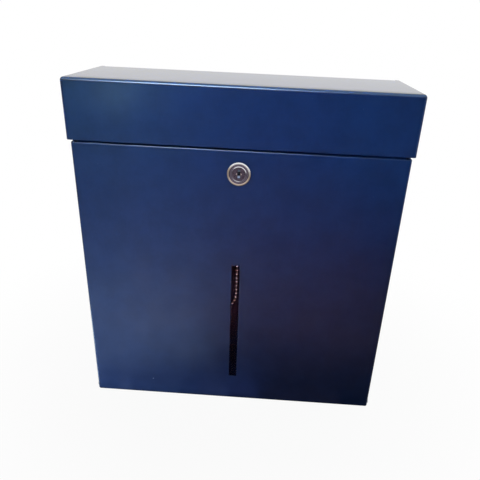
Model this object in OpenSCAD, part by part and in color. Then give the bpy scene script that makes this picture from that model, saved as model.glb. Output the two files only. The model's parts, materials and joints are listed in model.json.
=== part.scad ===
// Drop box of folded sheet steel: a lid hinged at the rear over the drop mouth, a door
// hinged at its foot with a cam lock, and a narrow window in the door.
// Millimetres. X runs right, Y back, Z up. The origin is on the base, midway between
// the sides and midway between the door's face and the back.

/* [Box] */
// Width of the door
front_w = 300; // [240:1:360]
// Depth from the door's face to the back
box_d = 107; // [95:1:150]
// Height from the base to the top of the lid
box_h = 332; // [310:1:420]
// Thickness of the sheet steel
sheet = 1; // [0.8:0.1:1.2]
// Gap between the door's side flanges and the casing
door_side_gap = 0.75; // [0.5:0.05:1.5]

/* [Lid] */
// Height of the lid's front band and skirts
lid_drop = 51.5; // [44:0.5:60]
// How far the band stands in front of the door
lid_overhang = 4; // [3:0.5:8]
// How far the skirts stand out past the door at each side
lid_side = 2; // [1.8:0.1:5]
// Outer radius of the lid's bends
lid_bend = 3; // [2:0.5:4]
// Height of the hem inside the band's lower edge
lid_hem = 9; // [6:0.5:12]
// Height of the flange at the lid's rear
lid_rear_drop = 22; // [18:1:28]
// Gap between that flange's ends and the casing's sides
lid_rear_gap = 1; // [0.5:0.1:3]
// Distance from the lid's rear edge to its pivot
lid_pivot_inset = 8; // [7:0.5:11]
// Distance from the lid's top down to its pivot
lid_pivot_drop = 8; // [7.5:0.5:11]
// Free space between the lid's swing and the wall behind the box
wall_clear = 0.7; // [0.5:0.1:3]
// Free space between the lid's swing and the casing
swing_clear = 0.7; // [0.5:0.1:1.5]

/* [Door] */
// Gap between the lid's lower edge and the door's top
door_top_gap = 2; // [1.5:0.5:4]
// Height of the door's lower edge above the base
door_lift = 2.5; // [2.4:0.1:5]
// Depth of the door's side flanges
door_flange = 14; // [13:0.5:18]
// Depth of the return along the door's top
door_return = 12; // [9:0.5:15]
// Depth of the return along the door's foot
door_foot_return = 9; // [6:0.5:9]
// Gap between the returns' ends and the casing's sides
door_return_gap = 3; // [2:0.5:6]
// Outer radius of the door's bends
door_bend = 2; // [1.5:0.5:3]
// Depth of the door's hinge axis behind its face
door_axis_in = 5.5; // [5.5:0.1:6]
// Height of the door's hinge axis above the base
door_axis_up = 8; // [8:0.1:12]
// Free space between the closed door's sheet and the casing's front edges
door_back_gap = 1; // [0.5:0.1:2]

/* [Hinge pins] */
// Diameter of the lid's pivot pins
lid_pin_d = 5; // [4:0.5:6]
// Diameter of the door's hinge pins
door_pin_d = 4; // [3:0.5:4.5]
// Radial running clearance of the pins in their holes
pin_clear = 0.05; // [0.02:0.01:0.1]
// Play between flat faces that turn on each other
face_play = 0.1; // [0.05:0.05:0.2]
// Diameter of the lid pins' heads
lid_head_d = 9; // [7:0.5:11]
// Height of the lid pins' heads
lid_head_h = 1.6; // [1.2:0.1:2.5]
// Diameter of the door pins' heads
door_head_d = 7; // [6:0.5:8.5]
// Height of the door pins' heads
door_head_h = 1; // [0.8:0.1:1.5]
// Thickness of the push-on clips
clip_t = 1.2; // [0.8:0.1:1.5]
// How far spacers and clips stay inside the edge of the sheet round a pin
lobe_edge = 0.5; // [0.3:0.1:0.6]

/* [Front rail and chute] */
// Height of the rail's top above the lid's lower edge
rail_rise = 11.5; // [8:0.5:16]
// How far the rail's front leg reaches below the lid's lower edge
rail_lap = 0.5; // [0.2:0.1:0.8]
// Gap between the door's top return and the rail's rear leg
strike_gap = 1; // [0.5:0.1:2]
// Height of the rear leg's lower edge above the lock's axis
strike_up = 13.5; // [13:0.5:16]
// Depth of the rail's welded end tabs
rail_tab = 12; // [8:1:16]
// Length of the chute's slope
chute_l = 70; // [40:1:75]
// Slope of the chute below level
chute_a = 45; // [40:1:50]

/* [Casing] */
// Outer radius of the bends between the back and the sides
casing_bend = 2; // [1.5:0.1:4]
// Size of the notches in the floor pan's corners, where its sides are bent up
floor_corner = 3; // [2.5:0.5:6]
// Width of the flanges along the sides' tops
top_flange = 12; // [12:1:18]
// Distance from the casing's front to the rear end of those flanges
top_flange_l = 75; // [50:1:80]
// Height of the floor pan's flanges
floor_flange = 14; // [10:1:20]
// Height of the rubber stops under the lid
bumper_h = 5; // [4:0.5:6]
// Diameter of the rubber stops
bumper_d = 10; // [8:0.5:11]
// Diameter of the rubber stops' stems
bumper_stem_d = 5; // [4:0.5:6]
// Diameter of the barbs that hold the rubber stops
bumper_barb_d = 7; // [6.5:0.5:8]
// Height of those barbs
bumper_barb_h = 2; // [1:0.5:3]
// Distance from the casing's front to the rubber stops
bumper_in = 12; // [8:1:30]

/* [Wall fixing] */
// Diameter of the wall-fixing holes
wall_hole_d = 7; // [5:0.5:9]
// Distance between the wall-fixing holes across
wall_hole_x = 200; // [120:5:220]
// Distance between the wall-fixing holes upwards
wall_hole_z = 200; // [120:5:220]
// Height of the lower wall-fixing holes
wall_hole_up = 70; // [40:1:80]

/* [Lock] */
// Distance from the door's top down to the lock's axis
lock_drop = 21; // [18:0.5:24]
// Diameter of the bezel
bezel_d = 21.6; // [20.5:0.1:26]
// Height of the bezel's flange in front of the door
bezel_h = 1.6; // [1.4:0.1:3]
// Radius of the bezel's round rim
rim_r = 1.2; // [0.8:0.1:1.2]
// Height of the ring round the plug above the bezel's flange
ring_h = 1.1; // [0.8:0.1:1.6]
// Width of the ring round the plug
ring_w = 1; // [0.6:0.1:1]
// Diameter of the barrel
barrel_d = 18; // [17:0.1:19]
// Distance between the barrel's flats
barrel_flats = 16; // [15.5:0.1:16.5]
// Diameter of the plug
plug_d = 10.8; // [10:0.1:11]
// Diameter of the plug's front collar
collar_d = 12; // [11.6:0.1:12.4]
// Thickness of the plug's front collar
collar_h = 1.5; // [1:0.1:2]
// Depth of the plug's face below the ring round it
face_sink = 0.5; // [0.3:0.1:0.8]
// Clearance of the barrel in the door and of the loose fits round it
lock_clear = 0.1; // [0.05:0.05:0.2]
// Width of the keyhole
key_w = 2.4; // [1.6:0.1:2.6]
// Height of the keyhole
key_h = 8.6; // [6:0.1:9]
// Diameter of the keyhole's wider middle
key_eye_d = 3.6; // [3:0.1:4]
// Depth of the keyhole
key_depth = 15; // [14:0.5:16]
// Number of wafers
wafer_n = 5; // [3:1:5]
// Thickness of a wafer
wafer_t = 1; // [0.6:0.1:1.2]
// Width of a wafer
wafer_w = 7; // [6:0.1:7.5]
// Height of the opening in a wafer
wafer_gap = 3.4; // [3:0.1:5]
// Distance from wafer to wafer
wafer_pitch = 2.2; // [2:0.1:2.3]
// Distance across the nut's flats
nut_af = 22; // [20:0.5:24]
// Thickness of the nut
nut_t = 5; // [3:0.5:6]
// Thickness of the lock's washer
lock_washer_t = 0.8; // [0.5:0.1:1.2]
// How far that washer stands out past the nut's flats
lock_washer_edge = 0.5; // [0.2:0.1:1]
// Gap between the front rail and the cam
cam_gap = 2; // [1.5:0.1:3]
// Thickness of the cam
cam_t = 2; // [1.5:0.1:2.5]
// Length of the cam from the lock's axis to its tip
cam_l = 28; // [24:0.5:29]
// Width of the cam's arm
cam_w = 11; // [9:0.5:14]
// Diameter of the cam's hub
cam_hub_d = 16; // [14:0.5:17]
// Size of the square that carries the cam
cam_square = 7; // [6:0.1:7.2]
// Diameter of the cam's screw
screw_d = 4; // [3:0.5:4]
// Diameter of the screw's head
screw_head_d = 7; // [6.5:0.1:9]
// Height of the screw's head
screw_head_h = 2.4; // [2:0.1:3]
// Length of the screw's thread in the plug
screw_l = 6; // [4:0.5:7]
// Length of the cross slots in the screw's head
slot_l = 4.2; // [3:0.1:5]
// Width of the cross slots
slot_w = 1; // [0.8:0.1:1.2]
// Diameter of the washer under the screw's head
cam_washer_d = 10.5; // [10:0.1:12]
// Thickness of that washer
cam_washer_t = 0.8; // [0.5:0.1:1.2]

/* [Window] */
// Width of the slit
slit_w = 8.3; // [6:0.1:14]
// Height of the slit
slit_h = 133.5; // [100:0.5:135]
// Distance from the door's foot up to the slit
slit_up = 30.5; // [20:0.5:32]
// Thickness of the clear pane
pane_t = 2; // [1.5:0.5:3]
// How far the pane reaches past the slit all round
pane_lap = 8; // [5:0.5:9]
// Thickness of the adhesive strips
tape_t = 0.5; // [0.3:0.1:0.8]
// Width of the adhesive strips
tape_w = 6; // [3:0.5:6]

/* [Chain] */
// Diameter of the chain's balls
ball_d = 3.2; // [2.4:0.1:3.4]
// Distance from ball to ball
ball_pitch = 4.3; // [4.2:0.05:4.8]
// Diameter of the links between the balls
link_d = 1; // [0.8:0.1:1.2]
// Thickness of the hook's strip
hook_t = 1.2; // [1:0.1:1.5]
// Width of the hook's strip
hook_w = 12; // [10:0.5:12]
// Reach of the hook behind the door's sheet
hook_reach = 16; // [14:0.5:18]
// Height of the hook's turned-up tip
hook_tip = 7; // [5:0.5:9]
// Height of the hook's welded foot
hook_foot = 15; // [10:0.5:20]
// Gap between the pane's top and the hook's foot
hook_gap = 3; // [1:0.5:10]
// Distance of the hook to the left of the lock's axis
hook_left = 7.4; // [4:0.1:10]
// Wall of the coupling that closes the chain
coupling_wall = 0.5; // [0.4:0.1:0.8]
// Length of the coupling
coupling_l = 8.6; // [6:0.1:10]

/* [Hidden] */
$fn = 48;
// Cuts run this far past the faces that they open.
cut = 1;

navy = [0.09, 0.16, 0.34];
chrome = [0.82, 0.82, 0.84];
zinc = [0.62, 0.63, 0.66];
nickel = [0.7, 0.74, 0.8];
black = [0.08, 0.08, 0.09];
white = [0.88, 0.88, 0.86];

// Front and back of the box, and the half widths of casing and lid.
face_y = -box_d / 2;
back_y = box_d / 2;
skin_y = face_y + sheet;
casing_x = front_w / 2 - sheet - door_side_gap;
inside_x = casing_x - sheet;
lid_x = front_w / 2 + lid_side;

// Lid: its front, foot, pivot and rear edge, and the reach of its rear edge about the pivot.
lid_front_y = face_y - lid_overhang;
lid_foot = box_h - lid_drop;
lid_reach = sqrt(pow(lid_pivot_inset, 2) + pow(lid_pivot_drop, 2));
lid_pivot_y = back_y - lid_reach - wall_clear;
lid_pivot_z = box_h - lid_pivot_drop;
lid_rear_y = lid_pivot_y + lid_pivot_inset;
lid_skirt_gap = lid_x - sheet - casing_x;

// Casing: its top, the edge of its back, and the lobes that hold the pins.
casing_h = box_h - sheet - bumper_h;
casing_front_y = skin_y + door_back_gap;
back_top = lid_pivot_z - lid_reach - swing_clear;
lid_lobe_r = lid_pivot_drop - sheet - swing_clear;

// Door: its edges, its hinge axis, and the reach of its lower edge about that axis.
door_top = lid_foot - door_top_gap;
door_h = door_top - door_lift;
door_axis_y = face_y + door_axis_in;
door_reach = sqrt(pow(door_axis_in, 2) + pow(door_axis_up - door_lift, 2));
door_lobe_r = door_axis_in - sheet - swing_clear / 2;
floor_front_y = door_axis_y + door_reach + swing_clear;
door_washer_d = 2 * (door_axis_in - door_bend) - swing_clear;
return_x = inside_x - door_return_gap;

// Front rail: its front leg, its rear leg that the cam locks behind, and its top.
rail_foot = lid_foot - rail_lap;
rail_top = lid_foot + rail_rise;
strike_y = face_y + door_return + strike_gap;

// Lock: its axis, and the planes of the nut and the cam.
lock_z = door_top - lock_drop;
cam_y = strike_y + sheet + cam_gap;
barrel_l = cam_y - skin_y - face_play;
nut_y = skin_y + lock_washer_t;
ring_y = face_y - bezel_h - ring_h;
plug_y = ring_y + face_sink;
screw_y = cam_y + cam_t;

// Window: the slit's foot and the pane behind it.
slit_z = door_lift + slit_up;
pane_y = skin_y + tape_t;

// Chain: the seat on the hook, and half of its route from the seat's top to its lowest
// point, as distances right of the hook and above its seat. The coupling starts at
// coupling_down below the seat.
hook_z = slit_z + slit_h + pane_lap + hook_gap + hook_foot;
chain_y = skin_y + hook_t + (hook_reach - 2 * hook_t) / 2;
seat_gap = 0.1;
half_route = [
    [0, 1.7], [5, 1.7], [6.6, 1.6], [7.6, 0.6], [8.1, -1.4], [8.1, -58],
    [8, -62], [7.5, -66], [6.3, -70.4], [3.6, -73.4], [0, -74.4]
];
back_half = [for (i = [len(half_route) - 2:-1:1]) [-half_route[i][0], half_route[i][1]]];
route = concat(half_route, back_half, [half_route[0]]);
coupling_down = 34;

// Length of the route up to its point i, and the point at a distance along it.
function span(i) = norm(route[i + 1] - route[i]);
function along(i) = i == 0 ? 0 : along(i - 1) + span(i - 1);
route_l = along(len(route) - 1);
function leg_of(s, i = 0) = i == len(route) - 2 || s < along(i + 1) ? i : leg_of(s, i + 1);
function point_at(s) =
    let (i = leg_of(s)) route[i] + (s - along(i)) / span(i) * (route[i + 1] - route[i]);
ball_n = round(route_l / ball_pitch);

// Sets a drawing of depth and height upright and draws it out along X.
module along_x(length) {
    rotate([90, 0, 90]) linear_extrude(length) children();
}

// The same, midway between the sides.
module across(length) {
    translate([-length / 2, 0, 0]) along_x(length) children();
}

// Draws out a drawing of width and height along Y, from the plane y.
module along_y(y, length) {
    translate([0, y + length, 0]) rotate([90, 0, 0]) linear_extrude(length) children();
}

// Both sides of the box.
module both_sides() {
    children();
    mirror([1, 0, 0]) children();
}

// A rod along X between two places.
module rod_x(x0, x1, y, z, d) {
    translate([x0, y, z]) rotate([0, 90, 0]) cylinder(h = x1 - x0, d = d);
}

// A ring along X between two places.
module ring_x(x0, x1, y, z, d, bore) {
    difference() {
        rod_x(x0, x1, y, z, d);
        rod_x(x0 - cut, x1 + cut, y, z, bore);
    }
}

// A rod along Y on the lock's axis.
module lock_rod(y0, y1, d) {
    translate([0, y0, lock_z]) rotate([-90, 0, 0]) cylinder(h = y1 - y0, d = d);
}

// A rectangle from one corner to another whose first corner, at least x and y, is round.
module round_corner(x0, y0, x1, y1, r) {
    translate([x0 + r, y0]) square([x1 - x0 - r, y1 - y0]);
    translate([x0, y0 + r]) square([x1 - x0, y1 - y0 - r]);
    translate([x0 + r, y0 + r]) circle(r);
}

// A rectangle about x = 0 whose two corners at y0 are round.
module round_front(half, y0, y1, r) {
    round_corner(-half, y0, 0, y1, r);
    mirror([1, 0]) round_corner(-half, y0, 0, y1, r);
}

// The same with the two corners at y1 round.
module round_rear(half, y0, y1, r) {
    mirror([0, 1]) round_front(half, -y1, -y0, r);
}

// Outline of a casing side, seen from the right.
module side_outline() {
    polygon([
        [casing_front_y, door_axis_up], [casing_front_y, casing_h],
        [lid_pivot_y, casing_h], [lid_pivot_y, back_top],
        [back_y, back_top], [back_y, 0],
        [floor_front_y, 0], [floor_front_y, door_axis_up]
    ]);
    translate([lid_pivot_y, lid_pivot_z]) circle(lid_lobe_r);
    translate([door_axis_y, door_axis_up]) circle(door_lobe_r);
}

module casing() {
    color(navy) difference() {
        union() {
            intersection() {
                linear_extrude(box_h) difference() {
                    round_rear(casing_x, face_y, back_y, casing_bend);
                    round_rear(inside_x, face_y - cut, back_y - sheet, casing_bend - sheet);
                }
                across(2 * casing_x) side_outline();
            }
            both_sides()
                translate([inside_x - top_flange, casing_front_y, casing_h - sheet])
                    cube([top_flange + sheet, top_flange_l, sheet]);
        }
        both_sides() {
            rod_x(inside_x - cut, casing_x + cut, lid_pivot_y, lid_pivot_z,
                lid_pin_d + 2 * pin_clear);
            rod_x(inside_x - cut, casing_x + cut, door_axis_y, door_axis_up,
                door_pin_d + 2 * pin_clear);
            bumper_place() translate([0, 0, -sheet - cut])
                cylinder(h = sheet + 2 * cut, d = bumper_stem_d + 2 * lock_clear);
            for (z = [0, wall_hole_z])
                translate([wall_hole_x / 2, back_y + cut, wall_hole_up + z])
                    rotate([90, 0, 0]) cylinder(h = sheet + 2 * cut, d = wall_hole_d);
        }
    }
}

module floor_pan() {
    color(navy) difference() {
        translate([-inside_x, floor_front_y, 0])
            cube([2 * inside_x, back_y - sheet - floor_front_y, floor_flange]);
        translate([-inside_x + sheet, floor_front_y + sheet, sheet])
            cube([2 * inside_x - 2 * sheet, back_y - floor_front_y - 3 * sheet, floor_flange]);
        for (side = [-1, 1], y = [floor_front_y, back_y - sheet])
            translate([side * inside_x, y, floor_flange / 2])
                cube([2 * floor_corner, 2 * floor_corner, 2 * floor_flange], center = true);
    }
}

module front_rail() {
    color(navy) {
        across(2 * inside_x) {
            translate([casing_front_y, rail_foot]) square([sheet, rail_top - rail_foot]);
            translate([casing_front_y, rail_top - sheet])
                square([strike_y + sheet - casing_front_y, sheet]);
            translate([strike_y, lock_z + strike_up])
                square([sheet, rail_top - lock_z - strike_up]);
        }
        both_sides() translate([inside_x - sheet, strike_y, lock_z + strike_up])
            cube([sheet, rail_tab, rail_top - sheet - rail_tab - lock_z - strike_up]);
    }
}

module chute_plate() {
    bend = [strike_y + sheet, rail_top];
    slope = chute_l * [cos(chute_a), -sin(chute_a)];
    lift = sheet * [sin(chute_a), cos(chute_a)];
    color(navy) across(2 * inside_x) polygon([
        [casing_front_y, rail_top], bend, bend + slope, bend + slope + lift,
        bend + sheet * [tan(chute_a / 2), 1], [casing_front_y, rail_top + sheet]
    ]);
}

// Where the right-hand rubber stop stands on its flange.
module bumper_place() {
    translate([inside_x - top_flange / 2, casing_front_y + bumper_in, casing_h]) children();
}

module lid_bumpers() {
    foot = -sheet - bumper_barb_h;
    color(black) both_sides() bumper_place() {
        cylinder(h = bumper_h, d = bumper_d);
        translate([0, 0, foot]) cylinder(h = bumper_h - foot, d = bumper_stem_d);
        translate([0, 0, foot]) cylinder(h = bumper_barb_h, d = bumper_barb_d);
    }
}

// A hinge pin on the right: a head outside the outer sheet and a shank through to the clip.
module hinge_pin(outer_x, y, z, d, head_d, head_h) {
    rod_x(outer_x + face_play, outer_x + face_play + head_h, y, z, head_d);
    rod_x(inside_x - clip_t - face_play, outer_x + face_play, y, z, d);
}

module lid_pivot_pin() {
    color(zinc) hinge_pin(lid_x, lid_pivot_y, lid_pivot_z, lid_pin_d, lid_head_d, lid_head_h);
}

module door_hinge_pin() {
    color(zinc)
        hinge_pin(front_w / 2, door_axis_y, door_axis_up, door_pin_d, door_head_d, door_head_h);
}

module lid_pivot_pin_right() {
    lid_pivot_pin();
}

module lid_pivot_pin_left() {
    mirror([1, 0, 0]) lid_pivot_pin();
}

module door_hinge_pin_right() {
    door_hinge_pin();
}

module door_hinge_pin_left() {
    mirror([1, 0, 0]) door_hinge_pin();
}

module lid_pivot_spacers() {
    color(white) both_sides()
        ring_x(casing_x, casing_x + lid_skirt_gap - face_play, lid_pivot_y, lid_pivot_z,
            2 * (lid_lobe_r - lobe_edge), lid_pin_d + 2 * pin_clear);
}

module lid_pin_clips() {
    color(zinc) both_sides()
        ring_x(inside_x - clip_t, inside_x, lid_pivot_y, lid_pivot_z,
            2 * (lid_lobe_r - lobe_edge), lid_pin_d + 2 * pin_clear);
}

module door_hinge_washers() {
    color(white) both_sides()
        ring_x(casing_x, casing_x + door_side_gap - face_play, door_axis_y, door_axis_up,
            door_washer_d, door_pin_d + 2 * pin_clear);
}

module door_pin_clips() {
    color(zinc) both_sides()
        ring_x(inside_x - clip_t, inside_x, door_axis_y, door_axis_up,
            2 * (door_lobe_r - lobe_edge), door_pin_d + 2 * pin_clear);
}

// The space of the lid's pan, drawn in by a margin from its outer faces.
module lid_space(margin) {
    half = lid_x - margin;
    r = lid_bend - margin;
    top = box_h - margin;
    front = lid_front_y + margin;
    foot = lid_foot - (margin > 0 ? cut : 0);
    rear = lid_rear_y + (margin > 0 ? cut : 0);
    intersection() {
        across(2 * half) mirror([0, 1]) round_corner(front, -top, rear, -foot, r);
        along_y(front, rear - front) mirror([0, 1]) round_front(half, -top, -foot, r);
        translate([0, 0, foot]) linear_extrude(top - foot) round_front(half, front, rear, r);
    }
}

module lid_shell() {
    rear_x = inside_x - lid_rear_gap;
    color(navy) difference() {
        union() {
            difference() {
                lid_space(0);
                lid_space(sheet);
            }
            translate([-rear_x, lid_rear_y - sheet, box_h - lid_rear_drop])
                cube([2 * rear_x, sheet, lid_rear_drop - sheet / 2]);
            translate([-lid_x + lid_bend, lid_front_y + sheet / 2, lid_foot])
                cube([2 * (lid_x - lid_bend), 1.5 * sheet, lid_hem]);
        }
        both_sides() rod_x(lid_x - sheet - cut, lid_x + cut, lid_pivot_y, lid_pivot_z,
            lid_pin_d + 2 * pin_clear);
    }
}

module door_panel() {
    half = front_w / 2;
    color(navy) difference() {
        intersection() {
            union() {
                translate([0, 0, door_lift]) linear_extrude(door_h) difference() {
                    round_front(half, face_y, face_y + door_flange, door_bend);
                    round_front(half - sheet, skin_y, face_y + door_flange + cut,
                        door_bend - sheet);
                }
                translate([-return_x, face_y, door_top - sheet])
                    cube([2 * return_x, door_return, sheet]);
                translate([-return_x, face_y, door_lift])
                    cube([2 * return_x, door_foot_return, sheet]);
            }
            across(front_w) {
                middle = (door_top + door_lift) / 2;
                round_corner(face_y, door_lift, face_y + door_flange, middle, door_bend);
                mirror([0, 1])
                    round_corner(face_y, -door_top, face_y + door_flange, -middle, door_bend);
            }
        }
        intersection() {
            lock_rod(face_y - cut, skin_y + cut, barrel_d + 2 * lock_clear);
            lock_flats(barrel_flats + 2 * lock_clear);
        }
        translate([-slit_w / 2, face_y - cut, slit_z]) cube([slit_w, sheet + 2 * cut, slit_h]);
        both_sides() rod_x(half - sheet - cut, half + cut, door_axis_y, door_axis_up,
            door_pin_d + 2 * pin_clear);
    }
}

module window_pane() {
    color([0.85, 0.88, 0.9, 0.4])
        translate([-slit_w / 2 - pane_lap, pane_y, slit_z - pane_lap])
            cube([slit_w + 2 * pane_lap, pane_t, slit_h + 2 * pane_lap]);
}

module window_tape() {
    color(black) both_sides()
        translate([slit_w / 2 + pane_lap - tape_w, skin_y, slit_z - pane_lap])
            cube([tape_w, tape_t, slit_h + 2 * pane_lap]);
}

// A block round the lock's axis as wide as the barrel's flats are apart.
module lock_flats(width) {
    translate([-width / 2, face_y - box_d, lock_z - barrel_d])
        cube([width, 2 * box_d, 2 * barrel_d]);
}

// The bezel's half section, radius and height: a flange with a round rim, and the ring
// round the plug.
module bezel_section() {
    ring_r = collar_d / 2 + pin_clear;
    square([bezel_d / 2, bezel_h]);
    translate([bezel_d / 2 - rim_r, bezel_h]) circle(rim_r);
    translate([ring_r, 0]) square([ring_w, bezel_h + ring_h - ring_w / 2]);
    translate([ring_r + ring_w / 2, bezel_h + ring_h - ring_w / 2]) circle(ring_w / 2);
}

module lock_housing() {
    color(chrome) difference() {
        union() {
            translate([0, face_y, lock_z]) rotate([90, 0, 0]) rotate_extrude() bezel_section();
            intersection() {
                lock_rod(face_y, skin_y + barrel_l, barrel_d);
                lock_flats(barrel_flats);
            }
        }
        lock_rod(ring_y - cut, skin_y + barrel_l + cut, plug_d + 2 * pin_clear);
        lock_rod(ring_y - cut, plug_y + collar_h, collar_d + 2 * pin_clear);
    }
}

module lock_washer() {
    color(zinc) difference() {
        lock_rod(skin_y, nut_y, nut_af + 2 * lock_washer_edge);
        lock_rod(skin_y - cut, nut_y + cut, barrel_d + 2 * lock_clear);
    }
}

module lock_nut() {
    color(zinc) difference() {
        along_y(nut_y, nut_t) translate([0, lock_z]) circle(d = nut_af / cos(30), $fn = 6);
        lock_rod(nut_y - cut, nut_y + nut_t + cut, barrel_d + 2 * lock_clear);
    }
}

// Where wafer i sits along the lock.
function wafer_y(i) = plug_y + collar_h + i * wafer_pitch;

module lock_plug() {
    color(chrome) difference() {
        union() {
            lock_rod(plug_y, cam_y, plug_d);
            lock_rod(plug_y, plug_y + collar_h - face_play, collar_d);
            translate([-cam_square / 2, cam_y, lock_z - cam_square / 2])
                cube([cam_square, cam_t, cam_square]);
        }
        translate([-key_w / 2, plug_y - cut, lock_z - key_h / 2])
            cube([key_w, key_depth + cut, key_h]);
        lock_rod(plug_y - cut, plug_y + collar_h / 2, key_eye_d);
        for (i = [0:wafer_n - 1])
            translate([-wafer_w / 2 - lock_clear, wafer_y(i) - lock_clear, lock_z - plug_d])
                cube([wafer_w + 2 * lock_clear, wafer_t + 2 * lock_clear, 2 * plug_d]);
        lock_rod(screw_y - screw_l, screw_y + cut, screw_d + 2 * pin_clear);
    }
}

module lock_wafers() {
    wafer_h = 2 * sqrt(pow(plug_d / 2, 2) - pow(wafer_w / 2, 2)) - 2 * lock_clear;
    color(nickel) for (i = [0:wafer_n - 1]) translate([0, wafer_y(i), lock_z]) difference() {
        translate([-wafer_w / 2, 0, -wafer_h / 2]) cube([wafer_w, wafer_t, wafer_h]);
        translate([-key_w / 2, -cut, -wafer_gap / 2])
            cube([key_w, wafer_t + 2 * cut, wafer_gap]);
    }
}

module lock_cam() {
    hole = cam_square + 2 * pin_clear;
    color(zinc) difference() {
        along_y(cam_y, cam_t) translate([0, lock_z]) {
            circle(d = cam_hub_d);
            translate([cam_w / 2 - cam_l, -cam_w / 2]) square([cam_l - cam_w / 2, cam_w]);
            translate([cam_w / 2 - cam_l, 0]) circle(d = cam_w);
        }
        translate([-hole / 2, cam_y - cut, lock_z - hole / 2])
            cube([hole, cam_t + 2 * cut, hole]);
    }
}

module cam_washer() {
    color(zinc) difference() {
        lock_rod(screw_y, screw_y + cam_washer_t, cam_washer_d);
        lock_rod(screw_y - cut, screw_y + cam_washer_t + cut, screw_d + 2 * pin_clear);
    }
}

module cam_screw() {
    head_y = screw_y + cam_washer_t;
    color(zinc) difference() {
        union() {
            lock_rod(screw_y - screw_l + face_play, head_y, screw_d);
            lock_rod(head_y, head_y + screw_head_h, screw_head_d);
        }
        for (turn = [0, 90])
            translate([0, head_y + screw_head_h, lock_z]) rotate([0, turn, 0])
                cube([slot_l, screw_head_h, slot_w], center = true);
    }
}

module chain_hook() {
    color(navy) translate([-hook_left - hook_w / 2, skin_y, hook_z]) {
        translate([0, 0, -hook_foot]) cube([hook_w, hook_t, hook_foot]);
        translate([0, 0, -hook_t]) cube([hook_w, hook_reach, hook_t]);
        translate([0, hook_reach - hook_t, -hook_t]) cube([hook_w, hook_t, hook_tip + hook_t]);
    }
}

// A point of the chain's route in the box.
function in_box(p) = [p[0] - hook_left, chain_y, p[1] + hook_z + seat_gap];

module ball_chain() {
    color(chrome) for (i = [0:ball_n - 1]) {
        here = point_at(i * route_l / ball_n);
        next = point_at((i + 1) % ball_n * route_l / ball_n);
        step = next - here;
        translate(in_box(here)) {
            sphere(d = ball_d);
            rotate([0, atan2(step[0], step[1]), 0]) cylinder(h = norm(step), d = link_d);
        }
    }
}

module chain_coupling() {
    bore = ball_d + 2 * lock_clear;
    strand = max([for (p = half_route) p[0]]);
    color(chrome) translate(in_box([-strand, -coupling_down])) difference() {
        cylinder(h = coupling_l, d = bore + 2 * coupling_wall);
        translate([0, 0, -cut]) cylinder(h = coupling_l + 2 * cut, d = bore);
    }
}

casing();
floor_pan();
front_rail();
chute_plate();
lid_bumpers();
lid_pivot_pin_left();
lid_pivot_pin_right();
lid_pivot_spacers();
lid_pin_clips();
door_hinge_pin_left();
door_hinge_pin_right();
door_hinge_washers();
door_pin_clips();
lid_shell();
door_panel();
window_pane();
window_tape();
lock_housing();
lock_washer();
lock_nut();
lock_plug();
lock_wafers();
lock_cam();
cam_washer();
cam_screw();
chain_hook();
ball_chain();
chain_coupling();
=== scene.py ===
"""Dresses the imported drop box: lid, door, lock, chain and small fittings as smooth
surfaces, a finish for every part, and a plain pale stage with the photograph's camera."""

import json
import math

import bmesh
import bpy
import numpy as np
from bpy.props import FloatProperty, FloatVectorProperty, IntProperty, PointerProperty
from mathutils import Matrix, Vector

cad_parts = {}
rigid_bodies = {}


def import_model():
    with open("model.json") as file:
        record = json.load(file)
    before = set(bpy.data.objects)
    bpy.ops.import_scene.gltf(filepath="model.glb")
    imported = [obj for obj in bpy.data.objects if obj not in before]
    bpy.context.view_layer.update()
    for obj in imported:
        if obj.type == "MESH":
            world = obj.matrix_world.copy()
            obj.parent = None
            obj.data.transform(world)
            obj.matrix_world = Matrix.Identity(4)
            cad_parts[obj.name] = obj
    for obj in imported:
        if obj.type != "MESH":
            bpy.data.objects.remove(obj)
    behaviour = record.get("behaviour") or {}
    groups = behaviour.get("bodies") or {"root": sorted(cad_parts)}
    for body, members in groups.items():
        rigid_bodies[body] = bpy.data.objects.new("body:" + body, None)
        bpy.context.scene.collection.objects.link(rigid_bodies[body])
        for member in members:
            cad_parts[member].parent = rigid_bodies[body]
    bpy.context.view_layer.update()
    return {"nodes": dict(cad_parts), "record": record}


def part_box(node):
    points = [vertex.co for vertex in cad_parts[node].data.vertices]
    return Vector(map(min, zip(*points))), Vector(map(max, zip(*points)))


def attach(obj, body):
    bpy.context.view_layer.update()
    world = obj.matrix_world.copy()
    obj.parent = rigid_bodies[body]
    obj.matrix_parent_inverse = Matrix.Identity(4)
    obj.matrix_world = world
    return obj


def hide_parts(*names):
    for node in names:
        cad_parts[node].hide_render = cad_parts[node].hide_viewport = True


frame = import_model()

bl_info = {
    "name": "Drop box dressing",
    "version": (1, 0, 0),
    "blender": (4, 5, 0),
    "location": "View3D > Sidebar > Drop box",
    "description": "Builds the visible surfaces and finishes of a sheet-steel drop box",
    "category": "Object",
}

MM = 0.001
# Slack in comparisons, and least divisor.
TINY = 1e-9


def node_box(name):
    """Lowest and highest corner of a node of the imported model, as two arrays."""
    low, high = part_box(name)
    return np.array(low), np.array(high)


def node_middle(name):
    """Middle of a node's box, as three numbers."""
    return (sum(node_box(name)) / 2).tolist()


LID_LOW, LID_HIGH = node_box("lid_shell")
DOOR_LOW, DOOR_HIGH = node_box("door_panel")
DOOR_FACE = float(DOOR_LOW[1])
LOCK_FRONT, LOCK_BACK = (float(corner[1]) for corner in node_box("lock_housing"))
LOCK_X, _, LOCK_Z = node_middle("lock_housing")
LID_PIVOT = node_middle("lid_pivot_pin_right")[1:]
DOOR_HINGE = node_middle("door_hinge_pin_right")[1:]


# Settings

def length(name, description, millimetres):
    """A length setting, given in millimetres and kept in metres."""
    return FloatProperty(
        name=name, description=description, default=millimetres * MM, unit="LENGTH", precision=5
    )


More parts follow.
